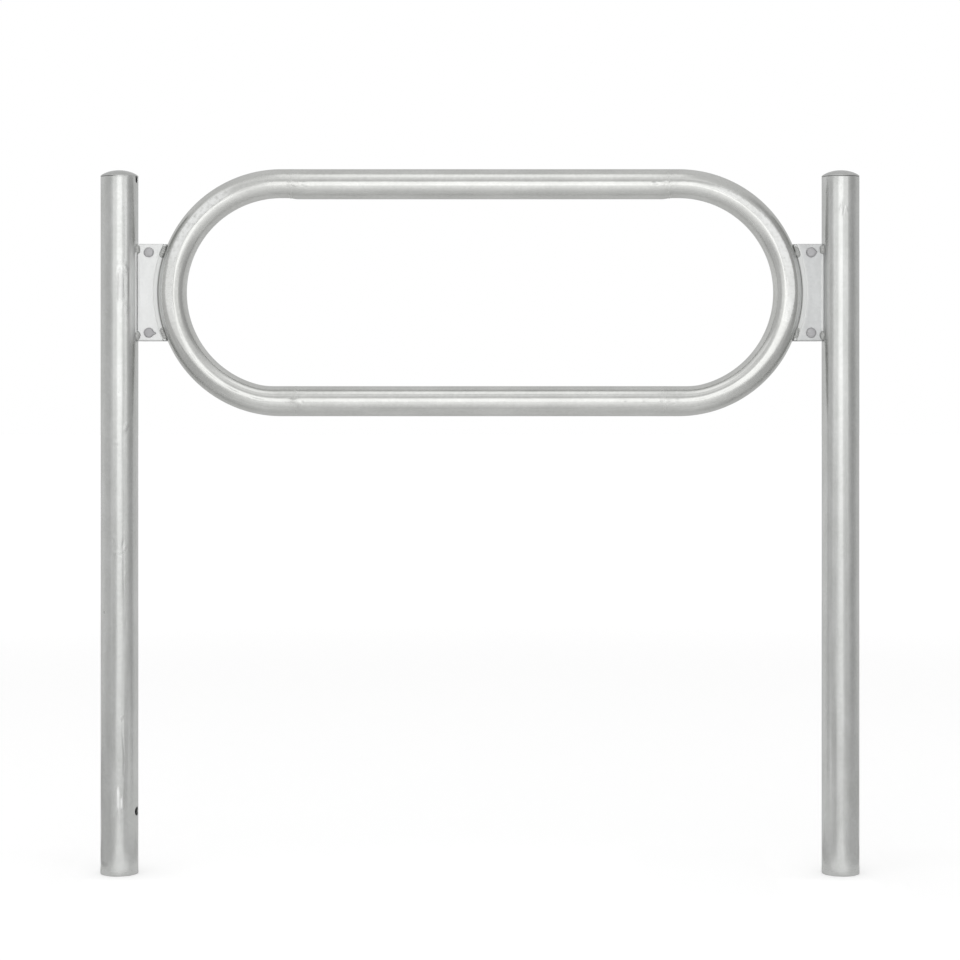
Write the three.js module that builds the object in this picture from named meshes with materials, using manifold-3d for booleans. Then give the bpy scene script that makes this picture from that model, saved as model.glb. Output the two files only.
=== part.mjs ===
// A hoop bike rack: two round posts with dished caps, and between them an oval hoop of round tube.
// The hoop is two bends butt-welded to two straight rails. At each side one lug is welded to the
// post and another to the hoop, and two round-head bolts clamp the lapped lugs together.
// Millimetres, +Z up, +X along the hoop and the front towards -Y. The origin lies on the ground
// line midway between the feet of the posts.

import * as THREE from "three";
import { mergeVertices, toCreasedNormals } from "three/addons/utils/BufferGeometryUtils.js";
import Module from "manifold-3d";

const wasm = await Module();
wasm.setup();

// Posts
const postDiameter = 60.3;
const postWall = 2.9;
const postLength = 1110;
const postSpacing = 1150;
const postRimChamfer = 0.8;

// Anchor hole near the foot and vent notch in the rim, on the +X side of each post and turned
// from there about its axis
const anchorHoleDiameter = 13;
const anchorHoleHeight = 100;
const ventWidth = 9;
const ventDepth = 10;
const leftOpeningsTurnDeg = -15;
const rightOpeningsTurnDeg = 0;

// Dished post caps. A fullness share of 1 gives a parabola, and less gives rounder shoulders.
const capRise = 10.4;
const capThickness = 3;
const capFullnessShare = 0.77;

// Hoop
const hoopDiameter = 48.3;
const hoopWall = 2.6;
const bendRadius = 173;
const hoopCentreBelowPostTop = 184.5;
const postToHoopGap = 30.9;
const topLegLength = 17;
const bottomLegLength = 24;
const bendFlattening = 1.8;
const flatteningRampDeg = 14;

// Butt welds in the hoop: a V between chamfered tube ends, filled and dressed nearly flush
const buttPrepDepth = 1.6;
const buttPrepLength = 2;
const buttWeldCrown = 0.15;

// Lugs
const lugHeight = 155;
const lugThickness = 8;
const lugShift = 6;

// Round-head bolts with a square neck, washers and nuts
const boltFromLugEnd = 13.5;
const boltFromPost = 17.7;
const boltDiameter = 8;
const boltHeadDiameter = 16;
const boltHeadHeight = 4.2;
const boltHeadRim = 0.7;
const boltNeckWidth = 8;
const boltNeckLength = 5;
const boltEndBeyondNut = 2.5;
const boltEndChamfer = 0.8;
const boltHoleClearance = 0.5;
const washerDiameter = 16;
const washerThickness = 1.6;
const nutAcrossFlats = 13;
const nutHeight = 6.8;
const nutChamfer = 0.6;

// Fillet welds at the corners of the lugs
const postWeldLength = 14;
const hoopWeldLength = 21;
const filletRadius = 5;
const filletCornerInset = 2;

// Clearances: pieces that seat on one another stay this far apart, and cutters run past what they cut
const seatGap = 0.3;
const overrun = 5;

// Facets
const postSides = 48;
const hoopSides = 28;
const bendSteps = 24;
const boltSides = 20;
const capRings = 3;
const headRings = 4;
const lugArcSteps = 10;
const nutSides = 6;
const filletSides = 12;
const filletEndSteps = 4;
const creaseAngle = Math.PI / 5;

// Worked out from the sizes above
const quarterTurn = Math.PI / 2;
const postRadius = postDiameter / 2;
const postX = postSpacing / 2;
const hoopRadius = hoopDiameter / 2;
const hoopOutside = bendRadius + hoopRadius;
const hoopCentreHeight = postLength - hoopCentreBelowPostTop;
const bendX = postX - postRadius - postToHoopGap - hoopOutside;
const boltX = postX - postRadius - boltFromPost;
const boltHeight = lugHeight / 2 - boltFromLugEnd;

const tubeZinc = { color: 0xa3a7a8, roughness: 0.42, metalness: 0.85 };
const plateZinc = { color: 0xc6c8c6, roughness: 0.5, metalness: 0.8 };
const boltZinc = { color: 0x9b9ea0, roughness: 0.38, metalness: 0.9 };
const weldZinc = { color: 0x8f9394, roughness: 0.55, metalness: 0.8 };

// A closed geometry as a solid that can be cut and joined. Faces that shrank to a line are dropped.
function solidOf(geometry) {
  const bare = geometry.clone();
  bare.deleteAttribute("normal");
  bare.deleteAttribute("uv");
  const merged = mergeVertices(bare);
  const corners = merged.index.array;
  const kept = [];
  for (let i = 0; i < corners.length; i += 3) {
    const [a, b, c] = corners.slice(i, i + 3);
    if (a !== b && b !== c && c !== a) kept.push(a, b, c);
  }
  return new wasm.Manifold(
    new wasm.Mesh({
      numProp: 3,
      vertProperties: merged.attributes.position.array,
      triVerts: new Uint32Array(kept),
    }),
  );
}

// A solid as a named mesh with its own material.
function piece(name, solid, finish) {
  const cut = solid.getMesh();
  const geometry = new THREE.BufferGeometry();
  geometry.setAttribute("position", new THREE.BufferAttribute(cut.vertProperties, 3));
  geometry.setIndex(new THREE.BufferAttribute(cut.triVerts, 1));
  const mesh = new THREE.Mesh(
    toCreasedNormals(geometry, creaseAngle),
    new THREE.MeshStandardMaterial(finish),
  );
  mesh.name = name;
  return mesh;
}

// Corner points of a regular polygon that stands for a circle.
function circlePoints(radius, sides) {
  const points = [];
  for (let i = 0; i < sides; i += 1) {
    const angle = (2 * Math.PI * i) / sides;
    points.push(new THREE.Vector2(radius * Math.cos(angle), radius * Math.sin(angle)));
  }
  return points;
}

// An outline of [radius, height] pairs turned about the Z axis.
function revolved(outline, sides) {
  const points = outline.map(([radius, height]) => new THREE.Vector2(radius, height));
  return new THREE.LatheGeometry(points, sides).rotateX(quarterTurn);
}

// A solid round bar along Z, from low to high.
function bar(radius, low, high, sides) {
  const outline = [
    [0, low],
    [radius, low],
    [radius, high],
    [0, high],
  ];
  return solidOf(revolved(outline, sides));
}

// The anchor hole and the vent notch as cutters that leave the post at the given turn from +X.
function postOpenings(turnDeg) {
  const reach = postRadius + overrun;
  const anchor = new THREE.CylinderGeometry(
    anchorHoleDiameter / 2,
    anchorHoleDiameter / 2,
    reach,
    boltSides,
  );
  anchor.rotateZ(quarterTurn).translate(reach / 2, 0, anchorHoleHeight);
  const halfWidth = ventWidth / 2;
  const notch = new THREE.Shape();
  notch.moveTo(halfWidth, overrun);
  notch.lineTo(-halfWidth, overrun);
  notch.lineTo(-halfWidth, halfWidth - ventDepth);
  notch.absarc(0, halfWidth - ventDepth, halfWidth, Math.PI, 2 * Math.PI, false);
  const vent = new THREE.ExtrudeGeometry(notch, {
    depth: reach,
    bevelEnabled: false,
    curveSegments: boltSides / 2,
  });
  vent.rotateX(quarterTurn).rotateZ(quarterTurn).translate(0, 0, postLength);
  return solidOf(anchor).add(solidOf(vent)).rotate([0, 0, turnDeg]);
}

function postSolid(turnDeg) {
  const bore = postRadius - postWall;
  const outline = [
    [bore, 0],
    [postRadius, 0],
    [postRadius, postLength - postRimChamfer],
    [postRadius - postRimChamfer, postLength],
    [bore, postLength],
    [bore, 0],
  ];
  return solidOf(revolved(outline, postSides)).subtract(postOpenings(turnDeg));
}

// A dished disc with a level rim. Its height at each radius is the rise times a parabola raised to
// the fullness share, and the hollow below is the same dish, smaller by the thickness all round.
function capSolid() {
  const outline = [];
  for (const [rim, rise, rings] of [
    [postRadius - capThickness, capRise - capThickness, [0, 1]],
    [postRadius, capRise, [1, 0]],
  ]) {
    for (let i = 0; i <= capRings; i += 1) {
      const along = THREE.MathUtils.lerp(...rings, i / capRings);
      const radius = rim * Math.sin(along * quarterTurn);
      const height = rise * (1 - (radius / rim) ** 2) ** capFullnessShare;
      outline.push([radius, height]);
    }
  }
  return solidOf(revolved(outline, postSides));
}

// A straight hoop rail along X, centred on the origin, with chamfered ends for the butt welds.
function railSolid(legLength) {
  const half = bendX - legLength - seatGap;
  const bore = hoopRadius - hoopWall;
  const root = hoopRadius - buttPrepDepth;
  const outline = [
    [bore, -half],
    [root, -half],
    [hoopRadius, -half + buttPrepLength],
    [hoopRadius, half - buttPrepLength],
    [root, half],
    [bore, half],
    [bore, -half],
  ];
  return solidOf(revolved(outline, hoopSides).rotateY(quarterTurn));
}

// Centreline of the right bend: top leg, half circle round [bendX, 0], bottom leg.
class BendPath extends THREE.Curve {
  getPoint(t, target = new THREE.Vector3()) {
    const arc = Math.PI * bendRadius;
    const along = t * (topLegLength + arc + bottomLegLength) - topLegLength;
    if (along < 0) return target.set(bendX + along, 0, bendRadius);
    if (along > arc) return target.set(bendX + arc - along, 0, -bendRadius);
    const angle = along / bendRadius;
    return target.set(
      bendX + bendRadius * Math.sin(angle),
      0,
      bendRadius * Math.cos(angle),
    );
  }
}

// Bending flattens the inside of the tube. The inner half of the section shrinks towards the
// centreline, from nothing where the legs begin to the full amount once past the ramp.
function flattenInside(geometry) {
  const ramp = THREE.MathUtils.degToRad(flatteningRampDeg);
  const place = geometry.attributes.position;
  for (let i = 0; i < place.count; i += 1) {
    const dx = place.getX(i) - bendX;
    const dz = place.getZ(i);
    const fromCentre = Math.hypot(dx, dz);
    const inward = bendRadius - fromCentre;
    if (dx <= 0 || inward <= 0) continue;
    const pastLeg = quarterTurn - Math.abs(Math.atan2(dz, dx));
    const fullness = THREE.MathUtils.smoothstep(pastLeg, 0, ramp);
    const moved = bendRadius - inward * (1 - (fullness * bendFlattening) / hoopRadius);
    place.setX(i, bendX + (dx * moved) / fromCentre);
    place.setZ(i, (dz * moved) / fromCentre);
  }
  return geometry;
}

// A round section swept along the bend. A bore makes it a tube.
function bendSweep(radius, bore) {
  const section = new THREE.Shape(circlePoints(radius, hoopSides));
  if (bore > 0) section.holes.push(new THREE.Path(circlePoints(bore, hoopSides)));
  const swept = new THREE.ExtrudeGeometry(section, {
    steps: bendSteps,
    bevelEnabled: false,
    extrudePath: new BendPath(),
  });
  return solidOf(flattenInside(swept));
}

// The room that the bend takes from the pieces that seat on it.
const bendRoom = bendSweep(hoopRadius + seatGap, 0);

// Cuts the chamfer of a butt weld on a tube that ends at z = 0 and runs towards -Z.
function buttPrepCutter() {
  const slope = buttPrepDepth / buttPrepLength;
  const outline = [
    [hoopRadius - buttPrepDepth - slope * seatGap, seatGap],
    [hoopRadius + slope * overrun, -buttPrepLength - overrun],
    [hoopRadius + slope * overrun, seatGap],
    [hoopRadius - buttPrepDepth - slope * seatGap, seatGap],
  ];
  return revolved(outline, hoopSides);
}

function bendSolid() {
  const topCutter = buttPrepCutter().rotateY(-quarterTurn);
  topCutter.translate(bendX - topLegLength, 0, bendRadius);
  const bottomCutter = buttPrepCutter().rotateY(-quarterTurn);
  bottomCutter.translate(bendX - bottomLegLength, 0, -bendRadius);
  return bendSweep(hoopRadius, hoopRadius - hoopWall)
    .subtract(solidOf(topCutter))
    .subtract(solidOf(bottomCutter));
}

// The filler ring of a butt weld round the X axis, clear of the two chamfers by the seat gap.
function buttWeldSolid() {
  const slope = buttPrepDepth / buttPrepLength;
  const lift = seatGap * Math.hypot(1, slope);
  const root = hoopRadius - buttPrepDepth + lift - (slope * seatGap) / 2;
  const halfWidth = (hoopRadius - root) / slope;
  const crown = hoopRadius + buttWeldCrown;
  const outline = [
    [root, 0],
    [hoopRadius, -halfWidth],
    [crown, 0],
    [hoopRadius, halfWidth],
    [root, 0],
  ];
  return solidOf(revolved(outline, hoopSides).rotateY(quarterTurn));
}

// A flat plate in the XZ plane whose back is at y = back.
function plateSolid(shape, back) {
  const plate = new THREE.ExtrudeGeometry(shape, {
    depth: lugThickness,
    bevelEnabled: false,
    curveSegments: lugArcSteps,
  });
  return solidOf(plate.rotateX(quarterTurn).translate(0, back, 0));
}

// Lug outline: level top and bottom, a straight edge at farX, and towards the hoop a concave edge,
// an arc of the given radius about [centreX, 0].
function lugShape(centreX, radius, farX) {
  const half = lugHeight / 2;
  const angle = Math.asin(half / radius);
  const shape = new THREE.Shape();
  shape.moveTo(farX, half);
  shape.lineTo(centreX + radius * Math.cos(angle), half);
  shape.absarc(centreX, 0, radius, angle, -angle, true);
  shape.lineTo(farX, -half);
  return shape;
}

// The front plate, coped to the round of the post, with square holes for the bolt necks.
function postLugSolid() {
  const blank = plateSolid(lugShape(bendX + lugShift, hoopOutside, postX), 0);
  const post = bar(postRadius + seatGap, -lugHeight, lugHeight, postSides).translate(postX, 0, 0);
  const width = boltNeckWidth + 2 * seatGap;
  const depth = lugThickness + 2 * overrun;
  let lug = blank.subtract(post);
  for (const up of [1, -1]) {
    const hole = new THREE.BoxGeometry(width, depth, width);
    hole.translate(boltX, -lugThickness / 2, up * boltHeight);
    lug = lug.subtract(solidOf(hole));
  }
  return lug;
}

// The rear plate, coped to the outside of the bend, with round bolt holes.
function hoopLugSolid() {
  const farX = postX - postRadius - lugShift;
  const blank = plateSolid(lugShape(bendX, bendRadius, farX), lugThickness);
  const holeRadius = boltDiameter / 2 + boltHoleClearance;
  let lug = blank.subtract(bendRoom);
  for (const up of [1, -1]) {
    const hole = bar(holeRadius, -overrun, lugThickness + overrun, boltSides)
      .rotate([-90, 0, 0])
      .translate(boltX, 0, up * boltHeight);
    lug = lug.subtract(hole);
  }
  return lug;
}

// A bolt whose head bears on the front of the post lug. Its axis runs along Y through the origin,
// and y = 0 is the plane where the two lugs meet.
function boltSolid() {
  const headRadius = boltHeadDiameter / 2;
  const domeHeight = boltHeadHeight - boltHeadRim;
  const sphere = (headRadius ** 2 + domeHeight ** 2) / (2 * domeHeight);
  const sphereDepth = sphere - domeHeight;
  const fullAngle = Math.acos(sphereDepth / sphere);
  const underHead = lugThickness;
  const shankRadius = boltDiameter / 2;
  const end = -lugThickness - washerThickness - nutHeight - boltEndBeyondNut;
  const outline = [
    [0, end],
    [shankRadius - boltEndChamfer, end],
    [shankRadius, end + boltEndChamfer],
    [shankRadius, underHead],
    [headRadius, underHead],
  ];
  for (let i = headRings; i >= 0; i -= 1) {
    const angle = (fullAngle * i) / headRings;
    outline.push([
      sphere * Math.sin(angle),
      underHead + boltHeadRim + sphere * Math.cos(angle) - sphereDepth,
    ]);
  }
  const neck = new THREE.BoxGeometry(boltNeckWidth, boltNeckWidth, boltNeckLength);
  neck.translate(0, 0, underHead - boltNeckLength / 2);
  const bolt = solidOf(revolved(outline, boltSides)).add(solidOf(neck));
  return bolt.rotate([90, 0, 0]);
}

function washerSolid() {
  const bore = boltDiameter / 2 + seatGap;
  const back = lugThickness + washerThickness;
  const outline = [
    [bore, lugThickness],
    [washerDiameter / 2, lugThickness],
    [washerDiameter / 2, back],
    [bore, back],
    [bore, lugThickness],
  ];
  return solidOf(revolved(outline, boltSides)).rotate([-90, 0, 0]);
}

// A hexagon whose corners are turned down to a chamfer at both faces.
function nutSolid() {
  const low = lugThickness + washerThickness;
  const high = low + nutHeight;
  const corner = nutAcrossFlats / Math.sqrt(3);
  const face = corner - nutChamfer;
  const bore = boltDiameter / 2 + seatGap;
  const turned = [
    [bore, low],
    [face, low],
    [corner, low + nutChamfer],
    [corner, high - nutChamfer],
    [face, high],
    [bore, high],
    [bore, low],
  ];
  const hexagon = bar(corner, low - overrun, high + overrun, nutSides);
  return solidOf(revolved(turned, boltSides)).intersect(hexagon).rotate([-90, 0, 0]);
}

// A round-ended lump of weld, along Z when unturned.
function filletLump(length) {
  const straight = length - 2 * filletRadius;
  const lump = new THREE.CapsuleGeometry(filletRadius, straight, filletEndSteps, filletSides);
  return lump.rotateX(quarterTurn);
}

// Weld in the corner between the front of the post lug and the post, near its top or bottom edge.
function postWeldSolid(up) {
  const edgeX = postX - Math.sqrt(postRadius ** 2 - lugThickness ** 2);
  const middle = lugHeight / 2 - filletCornerInset - postWeldLength / 2;
  const lump = filletLump(postWeldLength).translate(edgeX, -lugThickness, up * middle);
  const front = frontOf(-lugThickness - seatGap);
  const post = bar(postRadius + seatGap, -lugHeight, lugHeight, postSides).translate(postX, 0, 0);
  return solidOf(lump).intersect(front).subtract(post);
}

// Weld in the corner between the front of the hoop lug and the outside of the bend, in the strip
// that the shifted post lug leaves open.
function hoopWeldSolid(up) {
  const middle = lugHeight / 2 - filletCornerInset - hoopWeldLength / 2;
  const lean = Math.asin(middle / hoopOutside);
  const lump = filletLump(hoopWeldLength).rotateY(-up * lean);
  lump.translate(bendX + hoopOutside * Math.cos(lean), 0, up * middle);
  const postLug = plateSolid(
    lugShape(bendX + lugShift - seatGap, hoopOutside, postX),
    overrun,
  );
  return solidOf(lump)
    .intersect(frontOf(-seatGap))
    .subtract(bendRoom)
    .subtract(postLug);
}

// Everything nearer the front than the given y, near the lugs.
function frontOf(y) {
  const depth = 2 * lugThickness;
  const block = new THREE.BoxGeometry(2 * postX, depth, 2 * lugHeight);
  return solidOf(block.translate(postX, y - depth / 2, 0));
}

// Post with its cap.
function post(side, x, openingsTurnDeg) {
  const group = new THREE.Group();
  group.position.x = x;
  const tube = piece(`${side}_post`, postSolid(openingsTurnDeg), tubeZinc);
  const cap = piece(`${side}_post_cap`, capSolid(), tubeZinc);
  cap.position.z = postLength + seatGap;
  group.add(tube, cap);
  return group;
}

// One end of the hoop with its lugs and fastenings, built at +X. The left side is its mirror image.
function hoopSide(side) {
  const group = new THREE.Group();
  group.scale.x = side === "left" ? -1 : 1;
  group.add(piece(`hoop_${side}_bend`, bendSolid(), tubeZinc));
  group.add(piece(`${side}_post_lug`, postLugSolid(), plateZinc));
  group.add(piece(`${side}_hoop_lug`, hoopLugSolid(), plateZinc));
  for (const [level, up, legLength] of [
    ["top", 1, topLegLength],
    ["bottom", -1, bottomLegLength],
  ]) {
    const weld = piece(`hoop_${level}_${side}_weld`, buttWeldSolid(), weldZinc);
    weld.position.set(bendX - legLength - seatGap / 2, 0, up * bendRadius);
    group.add(weld);
  }
  for (const [level, up] of [
    ["upper", 1],
    ["lower", -1],
  ]) {
    group.add(piece(`${side}_${level}_post_weld`, postWeldSolid(up), weldZinc));
    group.add(piece(`${side}_${level}_hoop_weld`, hoopWeldSolid(up), weldZinc));
    const fastening = new THREE.Group();
    fastening.position.set(boltX, 0, up * boltHeight);
    fastening.add(piece(`${side}_${level}_bolt`, boltSolid(), boltZinc));
    fastening.add(piece(`${side}_${level}_washer`, washerSolid(), boltZinc));
    fastening.add(piece(`${side}_${level}_nut`, nutSolid(), boltZinc));
    group.add(fastening);
  }
  return group;
}

const hoop = new THREE.Group();
hoop.position.z = hoopCentreHeight;
for (const [level, up, legLength] of [
  ["top", 1, topLegLength],
  ["bottom", -1, bottomLegLength],
]) {
  const rail = piece(`hoop_${level}_rail`, railSolid(legLength), tubeZinc);
  rail.position.z = up * bendRadius;
  hoop.add(rail);
}
hoop.add(hoopSide("left"), hoopSide("right"));

const rack = new THREE.Group();
rack.name = "hoop_bike_rack";
rack.add(post("left", -postX, leftOpeningsTurnDeg));
rack.add(post("right", postX, rightOpeningsTurnDeg));
rack.add(hoop);

export default rack;
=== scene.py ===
"""A hoop bike rack in hot-dip galvanised steel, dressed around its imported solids.

Metres, +Z up, +X along the hoop, the front towards -Y. Every piece is a grid of points worked out as
whole arrays. Angles round an upright tube run from the front towards +X, and angles round the hoop's
tube run from the front towards the outside of the hoop.
"""

import math

import bmesh
import bpy
import numpy as np
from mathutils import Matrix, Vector


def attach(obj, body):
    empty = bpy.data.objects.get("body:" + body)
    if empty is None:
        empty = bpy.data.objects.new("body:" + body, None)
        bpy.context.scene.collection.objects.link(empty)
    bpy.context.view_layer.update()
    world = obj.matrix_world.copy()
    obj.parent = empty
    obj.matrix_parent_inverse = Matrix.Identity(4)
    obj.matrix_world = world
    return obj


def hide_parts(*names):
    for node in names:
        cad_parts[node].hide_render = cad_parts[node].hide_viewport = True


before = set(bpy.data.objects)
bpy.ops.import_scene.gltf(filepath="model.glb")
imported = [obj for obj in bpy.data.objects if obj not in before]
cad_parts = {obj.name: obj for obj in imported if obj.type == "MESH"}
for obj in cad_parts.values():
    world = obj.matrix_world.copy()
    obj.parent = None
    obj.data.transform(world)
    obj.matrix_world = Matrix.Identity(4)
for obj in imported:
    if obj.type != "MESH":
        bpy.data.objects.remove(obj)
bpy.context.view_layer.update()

MM = 0.001
SIDES = {"left": -1, "right": 1}
LEVELS = {"top": 1, "bottom": -1}

# Posts and their openings
POST_X = 0.575
POST_RADIUS = 0.03015
POST_SKIN = 0.0299
POST_BORE = 0.02725
POST_TOP = 1.110
RIM_ROUND = 0.9 * MM
FOOT_ROUND = 0.8 * MM
FOOT_STEPS = np.array([0, 0.2, 0.6, 1.2, 2.0, 3.2]) * MM
RIM_STEPS = np.array([3.0, 1.8, 1.0, 0.6, 0.3, 0.12, 0]) * MM
ANCHOR_HEIGHT = 0.100
ANCHOR_RADIUS = 0.0065
VENT_HALF = 0.0045
VENT_DEPTH = 0.010

# Caps
CAP_BASE = POST_TOP + 0.0003
CAP_TOP = 1.1207
CAP_RIM = 0.0300
CAP_LIP = 0.0009
CAP_PLATE = 0.003
CAP_HOLLOW = 0.0271
CAP_FULLNESS = 0.77
SEAM_RADIUS = 0.02925

# Hoop
HOOP_RADIUS = 0.02415
HOOP_SKIN = 0.0240
HOOP_BORE = 0.02155
HOOP_HEIGHT = 0.9255
BEND_X = 0.3168
BEND_RADIUS = 0.173
BEND_REACH = BEND_RADIUS + HOOP_RADIUS
FLATTENING = 0.0018
FLATTENING_RAMP = math.radians(14)
JOINT_X = {"top": 0.29965, "bottom": 0.29265}
JOINT_GAP = 0.0001
WELD_HALF = 0.0046
WELD_ROOT = 0.0228

# Lugs and the corner between a post and the front of its lug
LUG_LOW = 0.848
LUG_HIGH = 1.003
LUG_THICKNESS = 0.008
LUG_SHIFT = 0.006
LUG_ROUND = 0.9 * MM
LAP_HALF = 0.0772
HOOP_LUG_EDGE = 0.53885
CORNER_X = POST_X - math.sqrt(POST_RADIUS**2 - LUG_THICKNESS**2)

# Fillet welds, bolts, washers and nuts
POST_WELD_UP = 0.0685
HOOP_WELD_UP = 0.065
BOLT_X = 0.52715
BOLT_UP = 0.064
HEAD_RADIUS = 0.008
HEAD_HEIGHT = 0.0042
SHANK_RADIUS = 0.004
THREAD_START = 0.0164
THREAD_END = 0.0189
THREAD_PITCH = 0.00125
THREAD_DEPTH = 0.00055
WASHER_RADIUS = 0.008
WASHER_THICKNESS = 0.0016
FASTENER_BORE = 0.0043
NUT_HALF_FLATS = 0.0065
NUT_CORNER = 0.00751
NUT_FACE = 0.0068
NUT_HEIGHT = 0.0068

# Studio: the brightest level of a card, and the tones of zinc marked pale (mostly a painted highlight)
# and dark (mostly painted shade)
CARD_WHITE = 1.8
PALE = (0.74, 0.747, 0.74, 1)
DARK = (0.20, 0.202, 0.198, 1)


def smooth(value, low, high):
    """0 below low, 1 above high, and a smooth step 3t^2 - 2t^3 between."""
    t = np.clip((value - low) / (high - low), 0, 1)
    return t * t * (3 - 2 * t)


def bell(value, width, power=2):
    """exp(-|value / width|^power)."""
    return np.exp(-(np.abs(value / width) ** power))


def full_turn(count):
    """Evenly spread angles once round, without the last, which is the first again."""
    return np.linspace(0, 2 * math.pi, count, endpoint=False)


def joined(x, y, z):
    """Points from three coordinates that are spread over one grid."""
    return np.stack(np.broadcast_arrays(x, y, z), -1)


SKIN_MARKS = ("edge", "dull", "pale", "dark", "matt")


def sheet(points, run=None, closed=True, **marks):
    """A grid of points with what its material needs at each point: the place on the straightened
    piece, how much zinc has gathered at an edge, how dull the zinc is, how pale and soft (mostly a
    painted highlight), how dark (mostly painted shade), and how matt without a change of tone. The
    last column of a closed grid meets its first."""
    points = np.asarray(points, float)
    made = {key: np.broadcast_to(marks.get(key, 0.0), points.shape[:2]) for key in SKIN_MARKS}
    made["points"] = points
    made["run"] = points if run is None else np.broadcast_to(run, points.shape)
    made["closed"] = closed
    return made


def grid_faces(size, closed, first):
    """Four-cornered faces between neighbouring points of a grid that starts at point number first."""
    index = first + np.arange(size[0] * size[1]).reshape(size)
    if closed:
        index = np.hstack([index, index[:, :1]])
    corners = [index[:-1, :-1], index[:-1, 1:], index[1:, 1:], index[1:, :-1]]
    return np.stack(corners, -1).reshape(-1, 4)


def in_a_row(sheets, key):
    """One quantity of all the sheets' points, end to end."""
    return np.concatenate([part[key].ravel() for part in sheets]).astype(np.float32)


def lay_along(mesh):
    """A UV map whose first axis runs along the straightened piece and whose second goes round it."""
    run = np.empty(len(mesh.vertices) * 3, np.float32)
    mesh.attributes["run"].data.foreach_get("vector", run)
    corner = np.empty(len(mesh.loops), np.int32)
    mesh.loops.foreach_get("vertex_index", corner)
    x, y, z = run.reshape(-1, 3)[corner].T
    spread = np.stack([z, np.arctan2(x, -y) * POST_RADIUS], -1)
    mesh.uv_layers.new(name="along").uv.foreach_set("vector", spread.astype(np.float32).ravel())


def add_object(name, data):
    """A new object of the scene."""
    obj = bpy.data.objects.new(name, data)
    bpy.context.scene.collection.objects.link(obj)
    return obj


def build(name, sheets, material, nodes=(), crease=38):
    """Sews the sheets together where their points meet and turns all faces outwards."""
    faces = []
    first = 0
    for part in sheets:
        size = part["points"].shape[:2]
        faces.append(grid_faces(size, part["closed"], first))
        first += size[0] * size[1]
    faces = np.concatenate(faces)
    mesh = bpy.data.meshes.new(name)
    mesh.vertices.add(first)
    mesh.loops.add(faces.size)
    mesh.polygons.add(len(faces))
    mesh.vertices.foreach_set("co", in_a_row(sheets, "points"))
    mesh.loops.foreach_set("vertex_index", faces.astype(np.int32).ravel())
    mesh.polygons.foreach_set("loop_start", np.arange(0, faces.size, 4, dtype=np.int32))
    mesh.update(calc_edges=True)
    run = mesh.attributes.new("run", "FLOAT_VECTOR", "POINT")
    run.data.foreach_set("vector", in_a_row(sheets, "run"))
    for key in SKIN_MARKS:
        mark = mesh.attributes.new(key, "FLOAT", "POINT")
        mark.data.foreach_set("value", np.clip(in_a_row(sheets, key), 0, 1))
    work = bmesh.new()
    work.from_mesh(mesh)
    bmesh.ops.remove_doubles(work, verts=work.verts, dist=3e-6)
    bmesh.ops.recalc_face_normals(work, faces=work.faces)
    work.to_mesh(mesh)
    work.free()
    lay_along(mesh)
    mesh.shade_smooth()
    mesh.set_sharp_from_angle(angle=math.radians(crease))
    mesh.materials.append(material)
    obj = add_object(name, mesh)
    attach(obj, "root")
    if nodes:
        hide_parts(*nodes)


def swellings(along, around, marks):
    """Height of the zinc where it stands proud or sinks. Each mark is (along, around, half length,
    half width, rise, power, lean) in millimetres, with power 2 and lean 0 where they are left out:
    rise * exp(-|a|^power - |w|^power), with a and w the distances from its middle over its half
    sizes, and lean the shift around per unit along."""
    height = np.zeros(np.broadcast(along, around).shape)
    for mark in marks:
        at, turn, half_length, half_width, rise = np.multiply(mark[:5], MM)
        power, lean = (*mark[5:], *(2, 0)[len(mark) - 5:])
        near = np.abs(along - at) < 2.6 * half_length
        a = np.abs((along - at) / half_length)
        w = np.abs((around - turn - lean * (along - at)) / half_width)
        height += np.where(near, rise * np.exp(-(a**power) - w**power), 0)
    return height


def ripple(place, seed, count, longest, shortest, height, stretch=1.0):
    """Gentle unevenness of dipped zinc: the mean of count sine waves in seeded directions through
    the straightened piece, with wavelengths spread evenly in ratio from longest to shortest and
    stretched along the piece."""
    chance = np.random.default_rng(seed)
    total = np.zeros(place.shape[:-1])
    for i in range(count):
        length = longest * (shortest / longest) ** (i / max(count - 1, 1))
        way = chance.normal(size=3)
        way *= 2 * math.pi / (length * np.linalg.norm(way))
        way[2] /= stretch
        weight = (length / longest) ** 0.7
        total += weight * np.sin(place @ way + chance.uniform(0, 2 * math.pi))
    return height * total / math.sqrt(count)


def patches(along, around, spots):
    """Where a finish shows: the largest of share * exp(-|a|^6 - |w|^power) over the spots (along,
    around, half length, half width, share, power), in millimetres."""
    shown = np.zeros(np.broadcast(along, around).shape)
    for at, turn, half_length, half_width, share, power in spots:
        a = np.abs((along / MM - at) / half_length)
        w = np.abs((around / MM - turn) / half_width)
        shown = np.maximum(shown, share * np.exp(-(a**6) - w**power))
    return shown


def painted_dent_shade(relief):
    """Painted shade where the zinc has sunk: how dark its colour is made there."""
    return 0.5 * np.clip(-relief / (0.5 * MM) - 0.15, 0, 1)


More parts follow.
